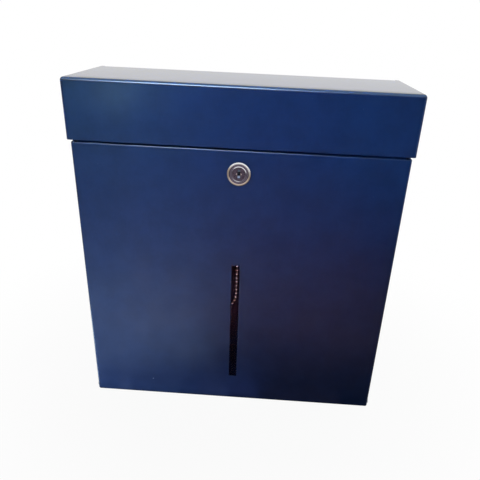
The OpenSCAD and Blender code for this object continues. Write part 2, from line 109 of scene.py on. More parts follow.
def share(name, description, value):
    """A setting from 0 to 1."""
    return FloatProperty(
        name=name, description=description, default=value, min=0, max=1, subtype="FACTOR"
    )


def colour(name, description, value):
    """A colour setting, in linear light."""
    return FloatVectorProperty(
        name=name, description=description, default=value, size=3, min=0, max=1, subtype="COLOR"
    )


class SheetSettings(bpy.types.PropertyGroup):
    thickness: length("Sheet", "Thickness of the sheet steel", 1)
    lid_bend: length("Lid bends", "Outer radius of the lid's bends", 3)
    door_bend: length("Door bends", "Outer radius of the door's bends", 2)
    edge_round: length("Edge round", "Rounding of the sheet's cut edges", 0.2)
    step: length("Mesh step", "Distance between mesh lines on flat sheet", 14)
    bend_lines: IntProperty(
        name="Bend lines", description="Mesh lines in half a bend", default=6, min=2, max=16
    )
    hem: length("Hem", "Height of the hem inside the lid's band", 9)
    rear_flange: length("Rear flange", "Height of the flange at the lid's rear", 22)
    rear_gap: length("Rear gap", "Distance from the flange's ends to the lid's sides", 5.75)
    top_return: length("Top return", "Depth of the return along the door's top", 12)
    foot_return: length("Foot return", "Depth of the return along the door's foot", 9)
    return_gap: length("Return gap", "Distance from the returns' ends to the door's sides", 5.75)


class OpeningSettings(bpy.types.PropertyGroup):
    slit_width: length("Slit width", "Width of the slit in the door", 8.3)
    slit_low: length("Slit foot", "Height of the slit's lower end above the base", 33)
    slit_high: length("Slit top", "Height of the slit's upper end above the base", 166.5)
    lock_hole: length("Lock hole", "Radius of the door's lock hole", 9.1)
    lock_flat: length("Lock flats", "Distance from the lock's axis to the hole's flats", 8.1)
    lid_hole: length("Lid pin holes", "Radius of the pin holes in the lid's skirts", 2.55)
    door_hole: length("Door pin holes", "Radius of the pin holes in the door's flanges", 2.05)


class LockSettings(bpy.types.PropertyGroup):
    bezel_r: length("Bezel", "Outer radius of the bezel", 10.8)
    bezel_h: length("Flange", "Height of the bezel's flange", 1.6)
    bezel_edge: length("Flange edge", "Broken edge of the bezel's flange", 0.15)
    rim_r: length("Rim", "Radius of the bezel's round rim", 1.2)
    ring_r: length("Ring bore", "Inner radius of the ring round the plug", 6.05)
    ring_w: length("Ring width", "Width of the ring round the plug", 1)
    ring_h: length("Ring height", "Height of the ring above the flange", 1.1)
    groove_fillet: length("Groove fillet", "Rounding in the corners of the groove", 0.35)
    bore_r: length("Bore", "Radius of the barrel's bore", 5.45)
    collar_depth: length("Collar depth", "Depth of the recess for the plug's collar", 2)
    barrel_r: length("Barrel", "Outer radius of the barrel's thread", 9)
    barrel_flat: length("Barrel flats", "Distance from the axis to the barrel's flats", 8)
    thread_pitch: length("Thread pitch", "Pitch of the barrel's thread", 1)
    thread_depth: length("Thread depth", "Depth of the barrel's thread", 0.5)
    nut_flat: length("Nut", "Distance from the axis to the nut's flats", 11)
    nut_clear: length("Nut clearance", "Gap between the nut and the barrel's thread", 0.1)
    # Place and size of the painted highlights on both sides of the keyhole.
    highlight_out: length("Key wear place", "Distance of the key's worn spots from the axis", 1.75)
    highlight_r: length("Key wear", "Radius of the key's worn spots", 1.1)


class FittingSettings(bpy.types.PropertyGroup):
    lid_pin_head: length("Lid pin heads", "Height of the lid pins' heads", 1.6)
    lid_pin_r: length("Lid pins", "Radius of the lid pins' shanks", 2.5)
    door_pin_head: length("Door pin heads", "Height of the door pins' heads", 1)
    door_pin_r: length("Door pins", "Radius of the door pins' shanks", 2)
    pin_foot: length("Pin feet", "Chamfer at the pins' inner ends", 0.5)
    pin_edge: length("Pin edges", "Broken edge of the pins' heads", 0.1)
    pin_dome: share("Pin domes", "Share of a head's height that is domed", 0.45)
    casing_flange: length("Casing flange", "Height of the casing's top flanges", 326)
    stem_r: length("Stop stems", "Radius of the stops' stems", 2.5)
    barb_r: length("Stop barbs", "Radius of the stops' barbs under the flange", 3.5)
    barb_rise: length("Barb slope", "Height of the slope below the barbs", 0.8)
    barb_round: length("Barb round", "Rounding of the barbs", 0.3)
    stop_foot: length("Stop feet", "Chamfer where the stops rest on the flange", 0.2)
    stop_edge: length("Stop edges", "Rounding of the stops' top", 1)


class ChainSettings(bpy.types.PropertyGroup):
    ball_d: length("Balls", "Diameter of the chain's balls", 3.2)
    link_d: length("Links", "Diameter of the links between the balls", 1)
    pitch: length("Pitch", "Distance from ball to ball", 4.3)
    sleeve_wall: length("Sleeve wall", "Wall of the coupling sleeve", 0.5)
    sleeve_edge: length("Sleeve edges", "Rounding of the coupling sleeve's edges", 0.06)
    sleeve_gap: FloatProperty(
        name="Sleeve gap", description="Opening of the coupling sleeve, as an angle",
        default=math.radians(50), subtype="ANGLE",
    )


class FinishSettings(bpy.types.PropertyGroup):
    navy: colour("Navy", "Paint of the sheet steel", (0.0079, 0.0316, 0.130))
    navy_deep: colour("Deep navy", "Darker clouds in the paint", (0.0061, 0.0244, 0.101))
    chip: colour("Chip", "Primer that shows in small chips", (0.30, 0.40, 0.58))
    chrome: colour("Chrome", "Plating of the lock", (0.92, 0.91, 0.93))
    # Painted warm reflection round the lock's rim, below the painted highlight at its top.
    rim_warm_reflection: colour("Rim", "Worn plating round the lock's rim", (0.60, 0.49, 0.41))
    # Painted shade on the inner ring's sides, and a painted highlight at its top and foot.
    ring: colour("Ring", "Plating of the ring round the plug", (0.25, 0.22, 0.28))
    ring_highlight: colour("Bright ring", "The same at its top and foot", (0.95, 0.95, 1.0))
    # Painted shade in the lock's groove.
    groove: colour("Groove", "Dulled plating in the lock's groove", (0.25, 0.20, 0.27))
    # Painted dark reflection on the plug's face.
    lock_shade: colour("Plug", "Dulled plating of the plug", (0.125, 0.092, 0.130))
    # Painted highlights on both sides of the keyhole.
    keyhole_highlight: colour("Key wear", "Metal that the key has worn bare", (0.95, 0.77, 0.76))
    zinc: colour("Zinc", "Plating of pins, nut and cam", (0.50, 0.51, 0.54))
    nickel: colour("Nickel", "Plating of the chain's sleeve", (0.70, 0.72, 0.78))
    # Painted glint round the middle of each ball of the chain.
    bead_glint: colour("Beads", "Bright plating on the chain's balls", (0.42, 0.40, 0.53))
    nylon: colour("Nylon", "Spacers and washers", (0.72, 0.72, 0.69))
    rubber: colour("Rubber", "Stops under the lid", (0.018, 0.018, 0.020))
    tape: colour("Tape", "Adhesive strips of the pane", (0.012, 0.012, 0.013))
    pane: colour("Pane", "Clear strip behind the slit", (0.94, 0.96, 0.97))
    pane_sheen: colour("Pane sheen", "Tint of the pane's reflection", (1.0, 0.5, 0.85))
    wafer: colour("Wafers", "Steel of the lock's wafers", (0.17, 0.21, 0.29))
    # Painted highlight on the wafers at the keyhole's foot.
    wafer_highlight: colour("Bright wafers", "The same at the keyhole's foot", (0.58, 0.70, 1.0))
    paint_rough: share("Paint roughness", "Roughness of the paint", 0.42)
    bend_rough: share("Bend roughness", "Share of that roughness on bends", 0.57)
    top_rough: share("Top roughness", "Share of that roughness on what faces up", 0.23)
    flat_gloss: share("Flat gloss", "Mirror level of the paint on upright sheet", 0.045)
    top_gloss: share("Top gloss", "Mirror level of the paint on what faces up", 0.32)
    bend_gloss: share("Bend gloss", "Mirror level of the paint on level bends", 1.0)
    corner_gloss: share("Corner gloss", "Mirror level of the paint on upright bends", 0.25)
    # Painted blue tint on the highlights along the bends.
    bend_highlight_tint: colour("Bend tint", "Tint of the gloss on bends", (0.40, 0.68, 1.0))


class StageSettings(bpy.types.PropertyGroup):
    camera_place: FloatVectorProperty(
        name="Camera", description="Place of the camera", size=3, subtype="TRANSLATION",
        default=(0.02871, -0.49910, 0.38282), precision=5,
    )
    camera_turn: FloatVectorProperty(
        name="Camera turn", description="Pitch, yaw and roll of the camera", size=3,
        subtype="EULER", default=tuple(math.radians(a) for a in (26.963, 1.974, 2.620)),
    )
    lens: FloatProperty(name="Lens", description="Focal length on a 36 mm sensor", default=38.268)
    shift: FloatVectorProperty(
        name="Shift", description="Offset of the lens, as a share of the frame", size=2,
        default=(-0.01931, 0.07502), precision=5,
    )
    floor: colour("Floor", "Colour of the floor", (0.40, 0.40, 0.40))
    floor_half: length("Floor size", "Half the floor's width", 30000)
    floor_drop: length("Floor drop", "Distance of the floor below the base", 0.3)
    floor_white: share("Near floor", "Share of white in the floor under the box", 0.95)
    floor_near: length("Near", "Distance from the middle where the floor grows whiter", 100)
    floor_far: length("Far", "Distance from the middle where the floor is white", 450)
    floor_gloss: share("Floor in gloss", "Share of that white in reflections", 0.4)
    surround: share("Surroundings", "Light that the white surroundings give", 0.015)


GROUPS = {
    "dropbox_sheet": SheetSettings,
    "dropbox_openings": OpeningSettings,
    "dropbox_lock": LockSettings,
    "dropbox_fittings": FittingSettings,
    "dropbox_chain": ChainSettings,
    "dropbox_finish": FinishSettings,
    "dropbox_stage": StageSettings,
}


# Surfaces

def grid_quads(rows, columns, close_rows=False, close_columns=False):
    """Quads of a grid of points that is stored row by row. A closed grid joins its last
    row or column to its first."""
    index = np.arange(rows * columns).reshape(rows, columns)
    if close_rows:
        index = np.concatenate([index, index[:1]])
    if close_columns:
        index = np.concatenate([index, index[:, :1]], axis=1)
    corners = index[:-1, :-1], index[:-1, 1:], index[1:, 1:], index[1:, :-1]
    return np.stack(corners, axis=-1).reshape(-1, 4)


def join(patches):
    """Several patches of points and faces as one."""
    points, faces, start = [], [], 0
    for place, quads in patches:
        points.append(np.asarray(place).reshape(-1, 3))
        faces.append(np.asarray(quads) + start)
        start += len(points[-1])
    return np.concatenate(points), np.concatenate(faces)


def lines(low, high, low_bend, high_bend, stops=()):
    """Places of the mesh lines from low to high: in a bend of radius r at an end they lie at
    r (1 - tan a) from the end for even steps of a up to 45 degrees, so that they are evenly
    spread round the bend; they also lie at each stop, and at most a step apart between."""
    sheet = bpy.context.scene.dropbox_sheet
    inset = 1 - np.tan(np.linspace(0, math.pi / 4, sheet.bend_lines + 1))
    ends = [low + low_bend * inset] if low_bend else [np.array([low])]
    ends += [high - high_bend * inset] if high_bend else [np.array([high])]
    fixed = np.unique(np.round(np.concatenate([*ends, np.asarray(stops, float).ravel()]), 9))
    fixed = fixed[(fixed >= low - TINY) & (fixed <= high + TINY)]
    counts = np.maximum(1, np.ceil(np.diff(fixed) / sheet.step - 1e-6)).astype(int)
    spans = [np.linspace(a, b, n, endpoint=False) for a, b, n in zip(fixed, fixed[1:], counts)]
    return np.concatenate([*spans, fixed[-1:]])


HOLE_STEPS = 8
HOLE_RINGS = 4


def hole_lines(middle, half):
    """Mesh lines across the square round a hole."""
    return middle + half * np.linspace(-1, 1, HOLE_STEPS + 1)


def plate(us, vs, slots=(), holes=()):
    """A flat grid over us and vs. Cells inside a slot (low and high corner) are left out. A hole
    (middle, half size of its square, radius as a function of the angle) replaces its square by
    rings that run in straight lines from the square's edge to the hole's edge."""
    u, v = np.meshgrid(us, vs, indexing="ij")
    quads = grid_quads(len(us), len(vs))
    mid = np.stack([u.ravel()[quads].mean(1), v.ravel()[quads].mean(1)], axis=1)
    keep = np.ones(len(quads), bool)
    cut = [(np.array(low), np.array(high)) for low, high in slots]
    cut += [(np.array(middle) - half, np.array(middle) + half) for middle, half, _ in holes]
    for low, high in cut:
        keep &= ~((mid > low) & (mid < high)).all(1)
    patches = [(np.stack([u, v, 0 * u], axis=-1), quads[keep])]
    edge = np.linspace(-1, 1, HOLE_STEPS + 1)[:-1]
    one = np.ones_like(edge)
    square = np.concatenate([
        np.stack([one, edge], 1), np.stack([-edge, one], 1),
        np.stack([-one, -edge], 1), np.stack([edge, -one], 1),
    ])
    for middle, half, radius in holes:
        angle = np.arctan2(square[:, 1], square[:, 0])
        rim = radius(angle)[:, None] * np.stack([np.cos(angle), np.sin(angle)], 1)
        part = np.linspace(0, 1, HOLE_RINGS + 1)[:, None, None]
        ring = np.array(middle) + (1 - part) * half * square + part * rim
        ring = np.concatenate([ring, 0 * ring[..., :1]], axis=-1)
        patches.append((ring, grid_quads(HOLE_RINGS + 1, len(square), close_columns=True)))
    return join(patches)


def rounded(points, low, high, radius, low_sides, high_sides):
    """Carries points of a sharp-edged box onto the box with round edges: each point is drawn
    to the nearest point of the box that is smaller by the radius on the named sides, and set
    out again by the radius along the line between the two."""
    inset, outset = radius * np.array(low_sides), radius * np.array(high_sides)
    inner = np.clip(points, low + inset, high - outset)
    away = points - inner
    away /= np.maximum(np.linalg.norm(away, axis=1, keepdims=True), TINY)
    return inner + radius * away


def round_steps(steps):
    """Angles in even steps round a full turn."""
    return np.arange(steps) / steps * 2 * math.pi


def turned(profile, steps):
    """Turns a profile of radius and height round the Z axis in even steps."""
    angle = round_steps(steps)
    radius, height = np.asarray(profile).T
    points = np.stack([
        radius[:, None] * np.cos(angle), radius[:, None] * np.sin(angle),
        height[:, None] + 0 * angle,
    ], axis=-1)
    return points.reshape(-1, 3), grid_quads(len(radius), steps, close_columns=True)


def arc(middle, radius, start, end, steps=8):
    """Points on a circle between two angles in degrees."""
    angle = np.radians(np.linspace(start, end, steps + 1))
    return np.array(middle) + radius * np.stack([np.cos(angle), np.sin(angle)], axis=1)


def on_side(patch, axis, value):
    """Sets a flat patch on a side of a box, across an axis and at a place along it."""
    flat, faces = patch
    return np.insert(flat[:, :2], axis, value, axis=1), faces


def make_mesh(name, points, faces, weld=0.001 * MM, out_from=None, sharp=None):
    """A smooth object at the origin from points and faces. Unless weld is None, points that
    coincide are welded and faces that shrink to nothing go. The faces are turned outwards: away
    from out_from on an open sheet, or by their own closed form. Edges that turn by more than
    sharp, in degrees, are shaded as sharp."""
    mesh = bpy.data.meshes.new(name)
    faces = faces if isinstance(faces, list) else faces.tolist()
    mesh.from_pydata(np.asarray(points).reshape(-1, 3).tolist(), [], faces)
    work = bmesh.new()
    work.from_mesh(mesh)
    if weld is not None:
        bmesh.ops.remove_doubles(work, verts=work.verts, dist=weld)
        bmesh.ops.dissolve_degenerate(work, edges=work.edges, dist=weld / 10)
    bmesh.ops.recalc_face_normals(work, faces=work.faces)
    if out_from is not None:
        middle = np.array([f.calc_center_median() for f in work.faces]) - np.array(out_from)
        normal = np.array([f.normal for f in work.faces])
        area = np.array([f.calc_area() for f in work.faces])
        if (area * (middle * normal).sum(1)).sum() < 0:
            bmesh.ops.reverse_faces(work, faces=work.faces)
    if sharp is not None:
        work.normal_update()
        for edge in work.edges:
            edge.smooth = edge.is_manifold and edge.calc_face_angle() < math.radians(sharp)
    work.to_mesh(mesh)
    work.free()
    mesh.polygons.foreach_set("use_smooth", np.ones(len(mesh.polygons), bool))
    made = bpy.data.objects.new(name, mesh)
    bpy.context.scene.collection.objects.link(made)
    return made


def give_wall(made, thickness, edge_round):
    """Gives a sheet its thickness on the inner side and rounds its cut edges."""
    wall = made.modifiers.new("wall", "SOLIDIFY")
    wall.thickness, wall.offset, wall.use_even_offset = thickness, -1, True
    soften(made, edge_round)


def soften(made, width, angle=50, segments=2):
    """Rounds the sharp edges of a piece."""
    edge = made.modifiers.new("edge", "BEVEL")
    edge.width, edge.segments, edge.limit_method = width, segments, "ANGLE"
    edge.angle_limit, edge.harden_normals = math.radians(angle), True


def fit(made, body, slot, look, *nodes):
    """Puts a finished piece on its body, in place of its nodes, with the finish of that name."""
    made.data.materials.append(finish(look))
    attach(made, body)
    if nodes:
        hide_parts(*nodes)


def set_up(made, right, up, back, place):
    """Sets a camera or a light at a place, turned to its three axes."""
    turn = np.identity(4)
    turn[:3] = np.stack([right, up, back, place], axis=1)
    made.matrix_world = Matrix(turn.tolist())
    bpy.context.scene.collection.objects.link(made)


# Finishes

class Shading:
    """A tree of shader nodes under construction."""

    def __init__(self, tree):
        self.tree = tree

    def node(self, kind, **values):
        made = self.tree.nodes.new(kind)
        for name, value in values.items():
            setattr(made, name, value)
        return made

    def set(self, node, socket, value):
        if isinstance(value, bpy.types.NodeSocket):
            self.tree.links.new(value, node.inputs[socket])
        else:
            node.inputs[socket].default_value = value

    def math(self, operation, first, second=0.5):
        made = self.node("ShaderNodeMath", operation=operation)
        self.set(made, 0, first)
        self.set(made, 1, second)
        return made.outputs["Value"]

    def seen(self, in_gloss=1.0):
        """1 on rays that show the surroundings: from the camera, or by way of metal or glass."""
        path = self.node("ShaderNodeLightPath").outputs
        gloss = self.math("MULTIPLY", path["Is Glossy Ray"], in_gloss)
        most = self.math("MAXIMUM", path["Is Camera Ray"], gloss)
        return self.math("MAXIMUM", most, path["Is Transmission Ray"])

    def blend(self, part, first, second, end):
        """Two shaders mixed by a share, as the surface of the tree's end."""
        both = self.node("ShaderNodeMixShader")
        for socket, value in enumerate((part, first, second)):
            self.set(both, socket, value)
        self.set(self.tree.nodes[end], "Surface", both.outputs["Shader"])


class Finish(Shading):
    """A material under construction, with its shader and the few nodes that the finishes share."""

    def __init__(self, name, colour, roughness, **sockets):
        self.material = bpy.data.materials.new(name)
        self.material.use_nodes = True
        super().__init__(self.material.node_tree)
        self.shader = self.tree.nodes["Principled BSDF"]
        self.place = self.node("ShaderNodeTexCoord").outputs["Object"]
        self.set(self.shader, "Base Color", (*colour, 1))
        self.set(self.shader, "Roughness", roughness)
        for socket, value in sockets.items():
            self.set(self.shader, socket.replace("_", " "), value)

    def noise(self, per_metre, detail=3, rough=0.5, stretch=(1, 1, 1)):
        """Clouds with about per_metre of them in a metre, drawn out along an axis by stretch."""
        mapping = self.node("ShaderNodeMapping")
        self.set(mapping, "Vector", self.place)
        self.set(mapping, "Scale", stretch)
        clouds = self.node("ShaderNodeTexNoise")
        self.set(clouds, "Vector", mapping.outputs["Vector"])
        self.set(clouds, "Scale", per_metre)
        self.set(clouds, "Detail", detail)
        self.set(clouds, "Roughness", rough)
        return clouds.outputs["Fac"]

    def cells(self, per_metre):
        """Distance to scattered points, about per_metre of them in a metre."""
        dots = self.node("ShaderNodeTexVoronoi")
        self.set(dots, "Vector", self.place)
        self.set(dots, "Scale", per_metre)
        return dots.outputs["Distance"]

    def ramp(self, value, low, high, to_low=0.0, to_high=1.0):
        """Value carried from the range low to high onto another range, and held at its ends."""
        made = self.node("ShaderNodeMapRange", interpolation_type="SMOOTHSTEP")
        for socket, number in (
            ("Value", value), ("From Min", low), ("From Max", high),
            ("To Min", to_low), ("To Max", to_high),
        ):
            self.set(made, socket, number)
        return made.outputs["Result"]

    def mix(self, part, first, second):
        """Two colours mixed by a share."""
        made = self.node("ShaderNodeMix", data_type="RGBA")
        self.set(made, "Factor", part)
        colours = [socket for socket in made.inputs if socket.type == "RGBA"]
        for socket, value in zip(colours, (first, second)):
            if isinstance(value, bpy.types.NodeSocket):
                self.tree.links.new(value, socket)
            else:
                socket.default_value = (*value, 1)
        return next(socket for socket in made.outputs if socket.type == "RGBA")

    def axes(self):
        """The three coordinates of the place on the piece."""
        apart = self.node("ShaderNodeSeparateXYZ")
        self.set(apart, "Vector", self.place)
        return [apart.outputs[axis] for axis in "XYZ"]

    def spot(self, middle, radius):
        """1 within a ball round a place and 0 outside, with a soft edge."""
        far = self.node("ShaderNodeVectorMath", operation="DISTANCE")
        self.set(far, 0, self.place)
        self.set(far, 1, middle)
        return self.ramp(far.outputs["Value"], radius * 0.6, radius * 1.2, 1.0, 0.0)

    def facing(self):
        """How far the surface is turned away from the nearest axis, 0 on flat sheet and most on
        bends, and how far it faces to either side, to the front or back, and up."""
        normal = self.tree.nodes["Texture Coordinate"].outputs["Normal"]
        size = self.node("ShaderNodeVectorMath", operation="ABSOLUTE")
        self.set(size, 0, normal)
        apart = self.node("ShaderNodeSeparateXYZ")
        self.set(apart, "Vector", size.outputs["Vector"])
        most = self.math("MAXIMUM", apart.outputs["X"], apart.outputs["Y"])
        most = self.math("MAXIMUM", most, apart.outputs["Z"])
        signed = self.node("ShaderNodeSeparateXYZ")
        self.set(signed, "Vector", normal)
        turned_away = self.math("SUBTRACT", 1.0, most)
        return turned_away, apart.outputs["X"], apart.outputs["Y"], signed.outputs["Z"]

    def bump(self, height, depth, strength=1.0):
        made = self.node("ShaderNodeBump")
        self.set(made, "Height", height)
        self.set(made, "Distance", depth)
        self.set(made, "Strength", strength)
        self.set(self.shader, "Normal", made.outputs["Normal"])

    def base(self, value):
        self.set(self.shader, "Base Color", value)

    def rough(self, value):
        self.set(self.shader, "Roughness", value)

    def scratches(self, per_metre, low, high):
        """Fine scratches: clouds that carry the roughness from low to high, in a faint relief."""
        fine = self.noise(per_metre, detail=4, rough=0.65)
        self.rough(self.ramp(fine, 0.35, 0.7, low, high))
        self.bump(fine, 0.01 * MM, 0.4)
        return fine


def navy_paint(name, up_gloss, side_gloss, chips=()):
    """Gloss paint: faint clouds in the colour, orange peel, soft smears in the gloss, specks of
    dust, and small chips at given places. It is glossier on bends, and smoother where it lay flat
    to dry, on what faces up. What faces up and the sides have their own mirror levels."""
    looks = bpy.context.scene.dropbox_finish
    paint = Finish(name, looks.navy, looks.paint_rough, IOR=1.65, Specular_IOR_Level=0.3)
    clouds = paint.noise(40, detail=6, rough=0.65)
    shade = paint.mix(paint.ramp(clouds, 0.3, 0.7), looks.navy_deep, looks.navy)
    dust = paint.ramp(paint.cells(160), 0.03, 0.07, 1.0, 0.0)
    where = paint.ramp(paint.noise(40, detail=1), 0.6, 0.72, 0.0, 0.12)
    shade = paint.mix(paint.math("MULTIPLY", dust, where), shade, looks.chip)
    for middle, radius in chips:
        shade = paint.mix(paint.spot(middle, radius), shade, looks.chip)
    paint.base(shade)
    bend, side, ahead, up = paint.facing()
    flat = paint.ramp(ahead, 0.9, 0.99, side_gloss, looks.flat_gloss)
    haze = paint.ramp(paint.noise(52, detail=6, rough=0.65), 0.3, 0.7, 0.86, 1.14)
    flat = paint.math("MULTIPLY", flat, haze)
    flat = paint.math("MAXIMUM", flat, paint.ramp(up, 0.9, 0.99, 0.0, up_gloss))
    turned_away = paint.ramp(bend, 0.015, 0.14)
    edge = paint.ramp(side, 0.2, 0.6, looks.bend_gloss, looks.corner_gloss)
    edge = paint.math("MULTIPLY", turned_away, edge)
    paint.set(paint.shader, "Specular IOR Level", paint.math("MAXIMUM", flat, edge))
    # The bends' reflections get a painted blue tint, which turns their highlight lines blue.
    paint.set(paint.shader, "Specular Tint", paint.mix(turned_away, (1, 1, 1), looks.bend_highlight_tint))
    smears = paint.noise(14)
    rough = paint.ramp(smears, 0.3, 0.7, looks.paint_rough - 0.03, looks.paint_rough + 0.03)
    smooth = paint.math(
        "MINIMUM", paint.ramp(up, 0.75, 0.98, 1.0, looks.top_rough),
        paint.ramp(bend, 0.015, 0.14, 1.0, looks.bend_rough),
    )
    paint.rough(paint.math("MULTIPLY", rough, smooth))
    paint.bump(paint.noise(420, detail=2), 0.04 * MM, 0.6)
    return paint.material


def plated(name, tint, low, high, scratch, mottle):
    """Bright plated metal: fine scratches in the gloss, and a mottled colour."""
    metal = Finish(name, tint, low, Metallic=1.0)
    metal.scratches(scratch, low, high)
    dull = tuple(c * (1 - mottle) for c in tint)
    metal.base(metal.mix(metal.ramp(metal.noise(180), 0.4, 0.62), dull, tint))
    return metal.material


def lock_chrome(name):
    """Chrome on the lock, with painted light: a painted highlight at the top of its rim and a
    painted warm reflection round the rest, painted shade in the groove, and painted shade on the
    inner ring's sides with painted highlights at its top and foot. Behind the door's face it is
    plain zinc."""
    scene = bpy.context.scene
    looks, lock = scene.dropbox_finish, scene.dropbox_lock
    metal = Finish(name, looks.chrome, 0.1, Metallic=1.0)
    fine = metal.scratches(900, 0.10, 0.20)
    x, y, z = metal.axes()
    across, up = metal.math("SUBTRACT", x, LOCK_X), metal.math("SUBTRACT", z, LOCK_Z)
    squares = [metal.math("MULTIPLY", part, part) for part in (across, up)]
    radius = metal.math("SQRT", metal.math("ADD", *squares))
    ring_out = lock.ring_r + lock.ring_w
    rim_in = lock.bezel_r - 2 * lock.rim_r + 0.25 * MM
    lean = metal.math("ADD", metal.math("MULTIPLY", across, 0.3), up)
    lean = metal.math("ADD", lean, metal.math("MULTIPLY", fine, 3 * MM))
    # Painted light on the rim: a painted highlight at its top and upper right, and a painted warm
    # reflection round the rest.
    rim = metal.mix(metal.ramp(lean, 2 * MM, 9 * MM), looks.rim_warm_reflection, looks.chrome)
    # Painted shade in the groove.
    groove = metal.mix(metal.ramp(radius, rim_in, rim_in + 0.45 * MM), looks.groove, rim)
    # Painted light on the inner ring: painted highlights at its top and foot, and painted shade on
    # its sides.
    ends = metal.ramp(metal.math("ABSOLUTE", lean), 3.5 * MM, 6.5 * MM)
    ring = metal.mix(ends, looks.ring, looks.ring_highlight)
    front = metal.mix(metal.ramp(radius, ring_out - 0.1 * MM, ring_out + 0.25 * MM), ring, groove)
    behind = metal.ramp(y, DOOR_FACE - 0.2 * MM, DOOR_FACE)
    metal.base(metal.mix(behind, front, looks.zinc))
    return metal.material


def bead_nickel(name):
    """Nickel on the ball chain, with painted light: a painted glint in a narrow band round each
    ball's middle, and painted shade, nearly black, on the rest of the balls and on the links.
    """
    looks = bpy.context.scene.dropbox_finish
    metal = Finish(name, looks.bead_glint, 0.16, Metallic=1.0)
    crown = metal.node("ShaderNodeAttribute", attribute_name="crown").outputs["Fac"]
    # Painted shade, nearly black, everywhere but a narrow band round each ball's middle, which
    # holds a painted glint.
    shaded_bead = tuple(0.01 * c for c in looks.bead_glint)
    metal.base(metal.mix(metal.ramp(crown, 0.955, 0.999), shaded_bead, looks.bead_glint))
    metal.rough(metal.ramp(metal.noise(900), 0.35, 0.7, 0.12, 0.22))
    return metal.material


def plug_with_painted_light(name):
    """The plug's plating: a painted dark, brownish reflection with a fine random grain, and painted
    highlights on both sides of the keyhole."""
    scene = bpy.context.scene
    looks, lock = scene.dropbox_finish, scene.dropbox_lock
    metal = Finish(name, looks.lock_shade, 0.3, Metallic=1.0)
    wear = metal.noise(500, detail=4, rough=0.6)
    light = tuple(1.5 * c for c in looks.lock_shade)
    shade = metal.mix(metal.ramp(wear, 0.4, 0.7), looks.lock_shade, light)
    # Painted highlights on both sides of the keyhole.
    for x in (LOCK_X - lock.highlight_out, LOCK_X + lock.highlight_out):
        worn = metal.spot((x, LOCK_FRONT, LOCK_Z), lock.highlight_r)
        shade = metal.mix(worn, shade, looks.keyhole_highlight)
    metal.base(shade)
    metal.rough(metal.ramp(wear, 0.3, 0.7, 0.22, 0.38))
    metal.bump(metal.noise(1500, detail=2), 0.01 * MM, 0.4)
    return metal.material


def wafer_plating(name):
    """The wafers' steel: scratched by the key, with a painted highlight that makes it brightest at
    the keyhole's foot.
    """
    looks = bpy.context.scene.dropbox_finish
    metal = Finish(name, looks.wafer, 0.25, Metallic=1.0)
    fine = metal.scratches(900, 0.2, 0.35)
    _, _, z = metal.axes()
    # Painted highlight on the wafers below the lock's axis.
    foot = metal.ramp(z, LOCK_Z - 1.5 * MM, LOCK_Z, 1.0, 0.0)
    foot = metal.math("MULTIPLY", foot, metal.ramp(fine, 0.3, 0.6, 0.75, 1.0))
    metal.base(metal.mix(foot, looks.wafer, looks.wafer_highlight))
    return metal.material


def plain_plastic(name, tint, rough, grain, depth):
    """Moulded plastic or rubber with a fine grain and slightly uneven colour."""
    stuff = Finish(name, tint, rough)
    clouds = stuff.noise(60)
    pale = tuple(min(1, 1.12 * c + 0.004) for c in tint)
    stuff.base(stuff.mix(stuff.ramp(clouds, 0.35, 0.65), tint, pale))
    stuff.rough(stuff.ramp(clouds, 0.3, 0.7, rough - 0.06, rough + 0.06))
    stuff.bump(stuff.noise(grain), depth, 0.7)
    return stuff.material


def clear_pane(name):
    """Clear acrylic with a faint reddish reflection and wiping marks."""
    looks = bpy.context.scene.dropbox_finish
    sheen = (*looks.pane_sheen, 1)
    glass = Finish(name, looks.pane, 0.24, Transmission_Weight=1.0, IOR=1.06, Specular_Tint=sheen)
    marks = glass.noise(50, detail=5, rough=0.6, stretch=(1, 1, 0.3))
    glass.base(glass.mix(glass.ramp(marks, 0.45, 0.8, 0.0, 0.3), looks.pane, looks.navy))
    return glass.material


# Place and radius of the small chips in the door's paint, in metres.
DOOR_CHIPS = (
    ((-0.0874, DOOR_FACE, 0.0221), 0.0007),
    ((-0.0042, DOOR_FACE, 0.1482), 0.0006),
)


def finish(name):
    """A finish by name, made once."""
    looks = bpy.context.scene.dropbox_finish
    makers = {
        "navy_gloss_paint": (navy_paint, looks.top_gloss, looks.flat_gloss),
        "navy_lid_paint": (navy_paint, looks.top_gloss, 0.0),
        "navy_door_paint": (navy_paint, 0.0, 0.0, DOOR_CHIPS),
        "zinc_plating": (plated, looks.zinc, 0.28, 0.45, 600, 0.22),
        "nickel_plating": (plated, looks.nickel, 0.10, 0.22, 900, 0.1),
        "bead_nickel": (bead_nickel,),
        "lock_chrome": (lock_chrome,),
        "dull_plug_plating": (plug_with_painted_light,),
        "wafer_steel_plating": (wafer_plating,),
        "white_nylon_moulded": (plain_plastic, looks.nylon, 0.45, 900, 0.02 * MM),
        "black_rubber_grain": (plain_plastic, looks.rubber, 0.62, 1400, 0.04 * MM),
        "black_tape_foam": (plain_plastic, looks.tape, 0.7, 1200, 0.05 * MM),
        "clear_pane_acrylic": (clear_pane,),
    }
    make, *values = makers[name]
    return bpy.data.materials.get(name) or make(name, *values)


# Operators

SENSOR = 36
CLIP_NEAR, CLIP_FAR = 0.01, 50


